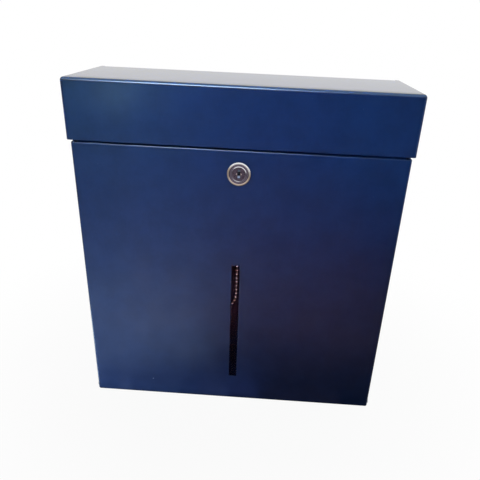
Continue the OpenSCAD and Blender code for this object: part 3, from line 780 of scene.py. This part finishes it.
class DROPBOX_OT_camera(bpy.types.Operator):
    """Sets the camera where the photograph was taken from"""

    bl_idname = "dropbox.camera"
    bl_label = "Camera"

    def execute(self, context):
        stage = context.scene.dropbox_stage
        pitch, yaw, roll = stage.camera_turn
        lean, tilt = Matrix.Rotation(roll, 3, "Z"), Matrix.Rotation(pitch, 3, "X")
        turn = np.array(lean @ tilt @ Matrix.Rotation(yaw, 3, "Y"))
        right, down, ahead = turn[:, [0, 2, 1]] * (1, 1, -1)
        data = bpy.data.cameras.new("camera")
        data.lens, data.sensor_width = stage.lens, SENSOR
        data.shift_x, data.shift_y = stage.shift
        data.clip_start, data.clip_end = CLIP_NEAR, CLIP_FAR
        camera = bpy.data.objects.new("camera", data)
        set_up(camera, right, -down, -ahead, stage.camera_place)
        context.scene.camera = camera
        return {"FINISHED"}


# Half of the chain's route from its seat on the hook to its lowest point, as millimetres to the
# right of the hook and above its seat. The other half is its mirror image.
CHAIN_HALF = np.array([
    (0, 1.7), (5, 1.7), (6.6, 1.6), (7.6, 0.6), (8.1, -1.4), (8.1, -58),
    (8, -62), (7.5, -66), (6.3, -70.4), (3.6, -73.4), (0, -74.4),
])
CHAIN_SEAT = np.array([-7.4, -44.5, 192.6])
BALL_ROWS = 7
BALL_SIDES = 20
SLEEVE_STEPS = 40


def chain_route():
    """The chain's closed route in metres, with its first point at the end again."""
    back = CHAIN_HALF[-2:0:-1] * (-1, 1)
    flat = np.concatenate([CHAIN_HALF, back, CHAIN_HALF[:1]])
    return (CHAIN_SEAT + np.stack([flat[:, 0], 0 * flat[:, 0], flat[:, 1]], axis=1)) * MM


def along(route, distances):
    """Points of a route at given distances from its start."""
    far = np.concatenate([[0], np.cumsum(np.linalg.norm(np.diff(route, axis=0), axis=1))])
    return np.stack([np.interp(distances, far, route[:, i]) for i in range(3)], axis=1), far[-1]


def ball_chain_surface(middles, ball_r, link_r):
    """One closed tube along the ball chain. Each row is a ring on a ball, at the angle a from the
    ball's axis: its middle lies r cos a along the axis and its radius is r sin a. The axis turns
    from the mean direction of the chain at the ball's equator to the direction of the next link
    at its end, so every ring stays on its ball. The link joins the rings of two neighbours."""
    ahead = np.roll(middles, -1, axis=0) - middles
    ahead /= np.linalg.norm(ahead, axis=1, keepdims=True)
    mean = ahead + np.roll(ahead, 1, axis=0)
    mean /= np.linalg.norm(mean, axis=1, keepdims=True)
    angle = np.linspace(math.pi / 2, math.asin(link_r / ball_r), BALL_ROWS)
    part = np.linspace(0, 1, BALL_ROWS)[:, None, None]

    def half(axis_mean, axis_end, middle, sign):
        axis = (1 - part) * axis_mean + part * axis_end
        axis /= np.linalg.norm(axis, axis=-1, keepdims=True)
        place = middle + sign * ball_r * np.cos(angle)[:, None, None] * axis
        return place, axis

    first, first_axis = half(mean, ahead, middles, 1)
    last, last_axis = half(np.roll(mean, -1, axis=0), ahead, np.roll(middles, -1, axis=0), -1)
    place = np.concatenate([first, last[:0:-1]]).swapaxes(0, 1).reshape(-1, 3)
    axis = np.concatenate([first_axis, last_axis[:0:-1]]).swapaxes(0, 1).reshape(-1, 3)
    rise = ball_r * np.sin(angle)
    radius = np.tile(np.concatenate([rise, rise[:0:-1]]), len(middles))
    side = np.cross(axis, (0, 1, 0))
    turn = round_steps(BALL_SIDES)
    ring = side[:, None] * np.cos(turn)[:, None] + np.array([0, 1, 0]) * np.sin(turn)[:, None]
    points = place[:, None] + radius[:, None, None] * ring
    faces = grid_quads(len(place), BALL_SIDES, close_rows=True, close_columns=True)
    return points, faces, np.repeat(radius / ball_r, BALL_SIDES)


class DROPBOX_OT_chain(bpy.types.Operator):
    """Makes the ball chain that hangs behind the slit, and the sleeve that closes its loop"""

    bl_idname = "dropbox.chain"
    bl_label = "Ball chain"

    def execute(self, context):
        chain = context.scene.dropbox_chain
        route = chain_route()
        _, whole = along(route, [0.0])
        count = round(whole / chain.pitch)
        middles, _ = along(route, np.arange(count) / count * whole)
        points, faces, crown = ball_chain_surface(middles, chain.ball_d / 2, chain.link_d / 2)
        made = make_mesh("ball_chain_loop", points, faces)
        made.data.attributes.new("crown", "FLOAT", "POINT").data.foreach_set("value", crown)
        fit(made, "door", "nickel_chain", "bead_nickel", "ball_chain")
        sleeve = self.add_sleeve(chain)
        return {"FINISHED"}

    def add_sleeve(self, chain):
        """The sleeve: a wall with round lips, turned about its own axis but for its gap."""
        low, high = node_box("chain_coupling")
        inner, lip = (high - low)[0] / 2 - chain.sleeve_wall, chain.sleeve_wall / 2
        rise = (high - low)[2]
        wall = np.concatenate([
            arc((inner + lip, lip), lip, 180, 360), arc((inner + lip, rise - lip), lip, 0, 180),
        ])
        half_gap = chain.sleeve_gap / 2
        turn = np.linspace(half_gap, 2 * math.pi - half_gap, SLEEVE_STEPS + 1) - math.pi / 2
        points = np.stack([
            wall[:, :1] * np.cos(turn), wall[:, :1] * np.sin(turn), wall[:, 1:] + 0 * turn,
        ], axis=-1)
        points += (low + high) / 2 * (1, 1, 0) + low * (0, 0, 1)
        rows, columns = points.shape[:2]
        ends = np.arange(rows) * columns
        faces = grid_quads(rows, columns, close_rows=True).tolist()
        faces += [ends[::-1].tolist(), (ends + columns - 1).tolist()]
        sleeve = make_mesh("chain_sleeve", points, faces, weld=None)
        soften(sleeve, chain.sleeve_edge)
        fit(sleeve, "door", "nickel_chain", "nickel_plating", "chain_coupling")
        return sleeve


# Distance from the middle of a folded sheet's box to a point on its inner side.
INSIDE = 20 * MM


class DROPBOX_OT_lid(bpy.types.Operator):
    """Makes the lid: top, band, skirts and rear flange folded from one sheet, and the band's hem"""

    bl_idname = "dropbox.lid"
    bl_label = "Lid"

    def execute(self, context):
        sheet, holes = context.scene.dropbox_sheet, context.scene.dropbox_openings
        low, high, bend = LID_LOW, LID_HIGH, sheet.lid_bend
        half = 2 * holes.lid_hole
        pin_y, pin_z = LID_PIVOT
        ear = high[0] - sheet.rear_gap
        xs = lines(low[0], high[0], bend, bend, (-ear, ear))
        ys = lines(low[1], high[1], bend, bend, hole_lines(pin_y, half))
        zs = lines(low[2], high[2], 0, bend, hole_lines(pin_z, half))
        flange_z = lines(high[2] - sheet.rear_flange, high[2], 0, bend)
        middle = xs[np.abs(xs) < ear + TINY]
        ears = xs[xs < TINY - ear], xs[xs > ear - TINY]
        pin = [((pin_y, pin_z), half, lambda angle: np.full_like(angle, holes.lid_hole))]

        # The top bends over into the rear flange between the ears, and is flat at the ears.
        folded = [on_side(plate(middle, ys), 2, high[2])]
        folded.append(on_side(plate(middle, flange_z), 1, high[1]))
        plain = [on_side(plate(part, ys), 2, high[2]) for part in ears]
        plain.append(on_side(plate(xs, zs), 1, low[1]))
        plain += [on_side(plate(ys, zs, holes=pin), 0, x) for x in (low[0], high[0])]
        patches = [
            (rounded(points, low, high, bend, (1, 1, 0), (1, rear, 1)), faces)
            for rear, group in ((1, folded), (0, plain)) for points, faces in group
        ]
        inside = (low + high) / 2 + (0, INSIDE, -INSIDE)
        made = make_mesh("lid_pan", *join(patches), out_from=inside)
        give_wall(made, sheet.thickness, sheet.edge_round)
        fit(made, "lid", "navy_paint", "navy_lid_paint", "lid_shell")
        self.add_hem(sheet)
        return {"FINISHED"}

    def add_hem(self, sheet):
        """The hem: a flat strip with round edges, lying inside the band's foot."""
        half = sheet.thickness / 2
        y, foot = LID_LOW[1] + 3 * half, LID_LOW[2]
        loop = np.concatenate([
            arc((y, foot + half), half, 180, 360), arc((y, foot + sheet.hem - half), half, 0, 180),
        ])
        ends = LID_LOW[0] + sheet.lid_bend, LID_HIGH[0] - sheet.lid_bend
        points = np.concatenate([np.insert(loop, 0, x, axis=1) for x in ends])
        count = len(loop)
        faces = grid_quads(2, count, close_columns=True).tolist()
        faces += [list(range(count))[::-1], list(range(count, 2 * count))]
        hem = make_mesh("lid_hem", points, faces, weld=None)
        soften(hem, sheet.edge_round / 2, angle=60)
        fit(hem, "lid", "navy_paint", "navy_lid_paint")


# How far the squares of mesh round the door's holes reach past them.
LOCK_MARGIN, PIN_MARGIN = 1 * MM, 1.2 * MM


class DROPBOX_OT_door(bpy.types.Operator):
    """Makes the door: face, side flanges and returns folded from one sheet, with the slit and the
    lock's hole"""

    bl_idname = "dropbox.door"
    bl_label = "Door"

    def execute(self, context):
        sheet, holes = context.scene.dropbox_sheet, context.scene.dropbox_openings
        low, high, bend = DOOR_LOW, DOOR_HIGH, sheet.door_bend
        lock_half, pin_half = holes.lock_hole + LOCK_MARGIN, holes.door_hole + PIN_MARGIN
        slit, slit_ends = holes.slit_width / 2, [holes.slit_low, holes.slit_high]
        pin_y, pin_z = DOOR_HINGE
        end = high[0] - sheet.return_gap
        xs = lines(low[0], high[0], bend, bend, np.concatenate([
            [-end, end, -slit, slit], hole_lines(LOCK_X, lock_half),
        ]))
        zs = lines(low[2], high[2], bend, bend, np.concatenate([
            slit_ends, hole_lines(LOCK_Z, lock_half), hole_lines(pin_z, pin_half),
        ]))
        ys = lines(low[1], high[1], bend, 0, hole_lines(pin_y, pin_half))
        middle = xs[np.abs(xs) < end + TINY]
        window = list(zip((-slit, slit), slit_ends))

        def lock_edge(angle):
            flat = holes.lock_flat / np.maximum(np.abs(np.cos(angle)), TINY)
            return np.minimum(holes.lock_hole, flat)

        lock = ((LOCK_X, LOCK_Z), lock_half, lock_edge)
        pin = [((pin_y, pin_z), pin_half, lambda angle: np.full_like(angle, holes.door_hole))]
        sides = [on_side(plate(xs, zs, slots=[window], holes=[lock]), 1, low[1])]
        sides += [on_side(plate(ys, zs, holes=pin), 0, x) for x in (low[0], high[0])]
        for z, reach in ((high[2], sheet.top_return), (low[2], sheet.foot_return)):
            sides.append(on_side(plate(middle, lines(low[1], low[1] + reach, bend, 0)), 2, z))
        patches = [
            (rounded(points, low, high, bend, (1, 1, 1), (1, 0, 1)), faces)
            for points, faces in sides
        ]
        inside = (low + high) / 2 + (0, INSIDE, 0)
        made = make_mesh("door_pan", *join(patches), out_from=inside)
        give_wall(made, sheet.thickness, sheet.edge_round)
        fit(made, "door", "navy_paint", "navy_door_paint", "door_panel")
        return {"FINISHED"}


LOCK_STEPS = 96
THREAD_ROWS = 6
# Height of the nut's cones as a share of what its corners stand out, and their slope.
NUT_CHAMFER = 0.9
NUT_SLOPE = 1.7


class DROPBOX_OT_lock(bpy.types.Operator):
    """Makes the lock's housing, with bezel, rim, groove, ring and a threaded barrel, and its nut"""

    bl_idname = "dropbox.lock"
    bl_label = "Lock"

    def execute(self, context):
        lock = context.scene.dropbox_lock
        self.add_housing(lock)
        self.add_nut(lock)
        return {"FINISHED"}

    def add_housing(self, lock):
        """The housing: a half section turned about the lock's axis. On the barrel the radius falls
        by the thread's depth in a wave that goes once round for each pitch along it, and the sides
        are cut off at the flats."""
        # The half section, as radius and distance in front of the door's face.
        ring_top, ring_half = lock.bezel_h + lock.ring_h, lock.ring_w / 2
        ring_out, fillet = lock.ring_r + lock.ring_w, lock.groove_fillet
        rim_mid, rim_in = lock.bezel_r - lock.rim_r, lock.bezel_r - 2 * lock.rim_r
        recess, end = ring_top - lock.collar_depth, DOOR_FACE - LOCK_BACK
        front = np.concatenate([
            [(lock.ring_r, recess)],
            arc((lock.ring_r + ring_half, ring_top - ring_half), ring_half, 180, 0, 12),
            arc((ring_out + fillet, lock.bezel_h + fillet), fillet, 180, 270, 5),
            arc((rim_in - fillet, lock.bezel_h + fillet), fillet, 270, 350, 5),
            arc((rim_mid, lock.bezel_h), lock.rim_r, 170, 0, 20),
            [(lock.bezel_r, lock.bezel_edge), (lock.bezel_r - lock.bezel_edge, 0)],
        ])
        rows = int(round(-end / lock.thread_pitch)) * THREAD_ROWS
        barrel = np.stack([np.full(rows + 1, lock.barrel_r), np.linspace(0, end, rows + 1)], axis=1)
        bore = np.array([(lock.bore_r, end), (lock.bore_r, recess)])
        section = np.concatenate([front, barrel, bore])

        row = np.arange(len(section))[:, None] - len(front)
        on_barrel, on_thread = (row >= 0) & (row <= rows), (row > 0) & (row < rows)
        turn = round_steps(LOCK_STEPS)
        phase = section[:, 1:] / lock.thread_pitch - turn / (2 * math.pi)
        wave = np.abs((phase % 1) * 2 - 1)
        radius = section[:, :1] - on_thread * lock.thread_depth * wave
        x, z = radius * np.cos(turn), radius * np.sin(turn)
        x = np.where(on_barrel, np.clip(x, -lock.barrel_flat, lock.barrel_flat), x)
        y = DOOR_FACE - section[:, 1:] + 0 * turn
        faces = grid_quads(len(section), LOCK_STEPS, close_rows=True, close_columns=True)
        points = np.stack([x + LOCK_X, y, z + LOCK_Z], axis=-1)
        made = make_mesh("lock_bezel", points, faces, sharp=40)
        fit(made, "door", "chrome_plate", "lock_chrome", "lock_housing")

    def add_nut(self, lock):
        """The nut: a six-sided edge cut back by a cone at both ends."""
        low, high = node_box("lock_nut")
        tall, flat, sixth = high[1] - low[1], lock.nut_flat, math.pi / 3
        slope = (flat / math.cos(sixth / 2) - flat) * NUT_CHAMFER
        cut = np.array([0, slope / 2, slope])
        heights = np.concatenate([cut, [tall / 2], tall - cut[::-1]])
        cone = flat + NUT_SLOPE * np.minimum(heights, tall - heights)
        turn = round_steps(LOCK_STEPS)
        edge = flat / np.cos((turn + sixth / 2) % sixth - sixth / 2)
        bore = np.full((2, LOCK_STEPS), lock.barrel_r + lock.nut_clear)
        radius = np.concatenate([np.minimum(edge, cone[:, None]), bore])
        height = np.concatenate([heights, [tall, 0]])[:, None] + 0 * turn
        points = np.stack([
            LOCK_X + radius * np.cos(turn), low[1] + height, LOCK_Z + radius * np.sin(turn),
        ], axis=-1)
        faces = grid_quads(len(radius), LOCK_STEPS, close_rows=True, close_columns=True)
        nut = make_mesh("lock_ring_nut", points, faces, sharp=25)
        fit(nut, "door", "zinc_steel", "zinc_plating", "lock_nut")


PIN_STEPS = 48
STOP_STEPS = 40
# Share of a pin head's radius that its dome covers.
DOME_PART = 0.93


class DROPBOX_OT_pins(bpy.types.Operator):
    """Makes the four hinge pins with domed heads, and the two rubber stops"""

    bl_idname = "dropbox.pins"
    bl_label = "Pins and stops"

    def execute(self, context):
        sizes = context.scene.dropbox_fittings
        for kind, head, shank in (
            ("lid_pivot_pin", sizes.lid_pin_head, sizes.lid_pin_r),
            ("door_hinge_pin", sizes.door_pin_head, sizes.door_pin_r),
        ):
            for side, sign in (("left", -1), ("right", 1)):
                self.add_pin(sizes, f"{kind}_{side}", sign, head, shank)
        self.add_stops(sizes, context.scene.dropbox_sheet.thickness)
        return {"FINISHED"}

    def add_pin(self, sizes, node, sign, head, shank):
        """A pin along X with its head on the outside: a turned profile, with a cap of a ball as
        the head's dome."""
        low, high = node_box(node)
        long, head_r = (high - low)[0], (high - low)[1] / 2
        neck, foot, edge = long - head, sizes.pin_foot, sizes.pin_edge
        dome = head * sizes.pin_dome
        ball = (head_r ** 2 + dome ** 2) / (2 * dome)
        swell = math.degrees(math.asin(DOME_PART * head_r / ball))
        profile = np.concatenate([
            [(0, 0), (shank - foot, 0), (shank, foot), (shank, neck)],
            [(head_r - edge, neck), (head_r, neck + edge), (head_r, long - dome - edge / 2)],
            arc((0, long - ball), ball, 90 - swell, 90, 10),
        ])
        points, faces = turned(profile, PIN_STEPS)
        start = high[0] if sign < 0 else low[0]
        points = points[:, [2, 0, 1]] * (sign, 1, 1) + (start, *node_middle(node)[1:])
        made = make_mesh(f"{node}_turned", points, faces, sharp=35)
        fit(made, "casing", "zinc_steel", "zinc_plating", node)

    def add_stops(self, sizes, sheet):
        """The stops: a turned button on the casing's flange, with a barbed stem through it."""
        low, high = node_box("lid_bumpers")
        stop_r, tall = (high - low)[1] / 2, (high - low)[2]
        seat, stem = sizes.casing_flange - low[2], sizes.stem_r
        under, foot, edge = seat - sheet, sizes.stop_foot, sizes.stop_edge
        barb, barb_round = sizes.barb_r - sizes.barb_round, sizes.barb_round
        profile = np.concatenate([
            [(0, 0), (stem, 0), (barb, sizes.barb_rise)],
            arc((barb, under - barb_round), barb_round, -30, 90, 4),
            [(stem, under), (stem, seat), (stop_r - foot, seat), (stop_r, seat + foot)],
            arc((stop_r - edge, tall - edge), edge, 0, 90, 6),
            [(0, tall)],
        ])
        points, faces = turned(profile, STOP_STEPS)
        middle_y = node_middle("lid_bumpers")[1]
        both = [
            (points + (x, middle_y, low[2]), faces) for x in (low[0] + stop_r, high[0] - stop_r)
        ]
        made = make_mesh("lid_stops", *join(both), sharp=50)
        fit(made, "casing", "black_rubber", "black_rubber_grain", "lid_bumpers")


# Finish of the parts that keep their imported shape, by the record's material slot.
SLOT_FINISHES = {
    "navy_paint": "navy_gloss_paint",
    "zinc_steel": "zinc_plating",
    "wafer_steel": "wafer_steel_plating",
    "chrome_plate": "dull_plug_plating",
    "white_nylon": "white_nylon_moulded",
    "clear_acrylic": "clear_pane_acrylic",
    "black_tape": "black_tape_foam",
}


class DROPBOX_OT_carried(bpy.types.Operator):
    """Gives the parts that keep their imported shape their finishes"""

    bl_idname = "dropbox.carried"
    bl_label = "Carried-over parts"

    def execute(self, context):
        for part in frame["record"]["subparts"]:
            node = frame["nodes"][part["node"]]
            if node.hide_render:
                continue
            node.data.materials.clear()
            node.data.materials.append(finish(SLOT_FINISHES[part["material_slot"]]))
        return {"FINISHED"}


def on_floor(name, place, size, power, tint, roll=0):
    """A light that lies on the floor and shines up, to leave a reflection."""
    above = (*place[:2], 1.0)
    return name, place, above, size, roll, 180, power, tint, "sheen"


WHITE = (1.0, 1.0, 1.0)
HAZE = (0.44, 0.60, 0.72)
# Name, place, aim, width and height, turn about its own axis and spread of its beam in degrees,
# power, tint and kind of each light. A soft one leaves no reflection, and a sheen is nothing but a
# reflection in the lid, the door and its pane.
LIGHTS = (
    ("front_light", (-0.13, -0.60, 0.64), (-0.01, -0.055, 0.335), (0.26, 0.05), 0, 39, 0.234,
     (0.62, 0.82, 1.0), "soft"),
    ("left_light", (-0.34, -0.24, 0.10), (-0.14, -0.055, 0.12), (0.12, 0.24), 0, 120, 0.17,
     (0.8, 0.9, 1.0), "soft"),
    ("edge_light", (0.50, -0.50, 0.45), (0.16, -0.055, 0.29), (0.06, 0.10), 0, 20, 0.024,
     (0.9, 0.95, 0.9), "soft"),
    ("upper_line", (-0.12, -0.44, 0.72), (-0.06, -0.0565, 0.33), (0.30, 0.15), 0, 180, 2.6,
     WHITE, "sheen"),
    ("lower_line", (-0.13, -0.56, 0.605), (-0.06, -0.055, 0.31), (0.32, 0.05), 0, 180, 3.2,
     WHITE, "sheen"),
    on_floor("low_light", (-0.275, -0.470, 0.002), (0.28, 0.79), 8.1, (0.64, 0.80, 0.86), roll=16),
    ("far_light", (-0.56, -1.50, 0.12), (-0.122, -0.0575, 0.325), (0.10, 0.06), 0, 8, 0.027,
     (0.38, 0.92, 1.0), "sheen"),
    ("patch_light", (-0.56, -1.50, 0.12), (-0.103, -0.0575, 0.325), (0.02, 0.02), 0, 2.4, 0.0020,
     (0.52, 0.88, 1.0), "sheen"),
    on_floor("foot_light", (-0.10, -0.085, 0.0015), (0.26, 0.05), 0.13, (0.30, 0.46, 0.9)),
    # Three that share their left end and lie one above the other, so that the haze fades out.
    on_floor("corner_light_short", (-0.1525, -0.067, 0.0012), (0.075, 0.022), 0.0154,
             (0.50, 0.60, 0.66)),
    on_floor("corner_light_mid", (-0.125, -0.067, 0.0009), (0.13, 0.022), 0.0266, HAZE),
    on_floor("corner_light_long", (-0.0975, -0.067, 0.0006), (0.185, 0.022), 0.0379, HAZE),
    on_floor("foot_warm_light", (0.04, -0.067, 0.0012), (0.16, 0.022), 0.0102, (1.0, 0.60, 0.50)),
    on_floor("warm_light", (0.01, -0.36, 0.002), (0.40, 0.34), 2.65, (1.0, 0.46, 0.25)),
    ("rear_light", (0.25, 0.75, 0.75), (0.0, 0.05, 0.18), (0.60, 0.60), 0, 50, 0.6, WHITE, "soft"),
    ("right_light", (0.85, 0.25, 0.50), (0.15, 0.0, 0.18), (0.50, 0.50), 0, 50, 0.45, WHITE,
     "soft"),
)
# What the sheen falls on, as the first words of the finishes' names.
SHEEN_ON = ("navy_lid", "navy_door", "clear_pane")


class DROPBOX_OT_stage(bpy.types.Operator):
    """Lays the pale floor, and sets the lights and the white surroundings"""

    bl_idname = "dropbox.stage"
    bl_label = "Stage"

    def execute(self, context):
        scene = context.scene
        scene.view_settings.view_transform = "Standard"
        self.lay_floor(scene.dropbox_stage)
        self.set_world(scene)
        front = bpy.data.collections.new("front_sheet")
        for made in scene.objects:
            look = made.type == "MESH" and made.active_material
            if look and look.name.startswith(SHEEN_ON):
                front.objects.link(made)
        for light in LIGHTS:
            self.add_light(front, *light)
        return {"FINISHED"}

    def lay_floor(self, stage):
        """The floor: white where it is seen, a trace less under the box, and grey to the lights."""
        square = np.array([(-1, -1, 0), (1, -1, 0), (1, 1, 0), (-1, 1, 0)])
        corners = square * stage.floor_half - (0, 0, stage.floor_drop)
        floor = make_mesh("floor", corners, [[0, 1, 2, 3]], weld=None)
        look = Finish("pale_floor", stage.floor, 0.9, Specular_IOR_Level=0.0)
        far = look.node("ShaderNodeVectorMath", operation="LENGTH")
        look.set(far, 0, look.place)
        white = look.ramp(
            far.outputs["Value"], stage.floor_near, stage.floor_far, stage.floor_white, 1.0
        )
        part = look.math("MULTIPLY", white, look.seen(stage.floor_gloss))
        glow = look.node("ShaderNodeEmission")
        look.set(glow, "Color", (1, 1, 1, 1))
        ends = look.shader.outputs["BSDF"], glow.outputs["Emission"]
        look.blend(part, *ends, "Material Output")
        floor.data.materials.append(look.material)

    def set_world(self, scene):
        """The surroundings: white where they are seen, and a dim light otherwise."""
        world = bpy.data.worlds.new("studio")
        scene.world = world
        world.use_nodes = True
        sky = Shading(world.node_tree)
        dim, white = sky.tree.nodes["Background"], sky.node("ShaderNodeBackground")
        for node, strength in ((dim, scene.dropbox_stage.surround), (white, 1.0)):
            sky.set(node, "Color", (1, 1, 1, 1))
            sky.set(node, "Strength", strength)
        ends = dim.outputs["Background"], white.outputs["Background"]
        sky.blend(sky.seen(), *ends, "World Output")

    def add_light(self, front, name, place, target, size, roll, spread, power, tint, kind):
        """A rectangular light at a place, aimed at a target."""
        data = bpy.data.lights.new(name, "AREA")
        data.shape, data.size, data.size_y = "RECTANGLE", *size
        data.energy, data.color, data.spread = power, tint, math.radians(spread)
        light = bpy.data.objects.new(name, data)
        light.visible_camera = False
        light.visible_glossy, light.visible_diffuse = kind == "sheen", kind == "soft"
        if kind == "sheen":
            light.light_linking.receiver_collection = front
        back = np.array(place) - np.array(target)
        back /= np.linalg.norm(back)
        # A light that shines straight up or down takes its level from the box's depth.
        upright = abs(back[2]) > 0.99
        level = np.cross((0, 1, 0) if upright else (0, 0, 1), back)
        level /= np.linalg.norm(level)
        angle = math.radians(roll)
        right = math.cos(angle) * level + math.sin(angle) * np.cross(back, level)
        set_up(light, right, np.cross(back, right), back, place)


OPERATORS = (
    DROPBOX_OT_camera, DROPBOX_OT_chain, DROPBOX_OT_lid, DROPBOX_OT_door, DROPBOX_OT_lock,
    DROPBOX_OT_pins, DROPBOX_OT_carried, DROPBOX_OT_stage,
)


class DROPBOX_PT_panel(bpy.types.Panel):
    """Lists the settings and the pieces"""

    bl_idname = "DROPBOX_PT_panel"
    bl_label = "Drop box"
    bl_space_type = "VIEW_3D"
    bl_region_type = "UI"
    bl_category = "Drop box"

    def draw(self, context):
        for name, group in GROUPS.items():
            box = self.layout.box()
            for setting in group.__annotations__:
                box.prop(getattr(context.scene, name), setting)
        for operator in OPERATORS:
            self.layout.operator(operator.bl_idname)


def register():
    for group in (*GROUPS.values(), *OPERATORS, DROPBOX_PT_panel):
        bpy.utils.register_class(group)
    for name, group in GROUPS.items():
        setattr(bpy.types.Scene, name, PointerProperty(type=group))


def unregister():
    for name in GROUPS:
        delattr(bpy.types.Scene, name)
    for group in (DROPBOX_PT_panel, *reversed(OPERATORS), *reversed(GROUPS.values())):
        bpy.utils.unregister_class(group)


def main():
    register()
    for operator in OPERATORS:
        family, name = operator.bl_idname.split(".")
        getattr(getattr(bpy.ops, family), name)()


if __name__ == "__main__":
    main()
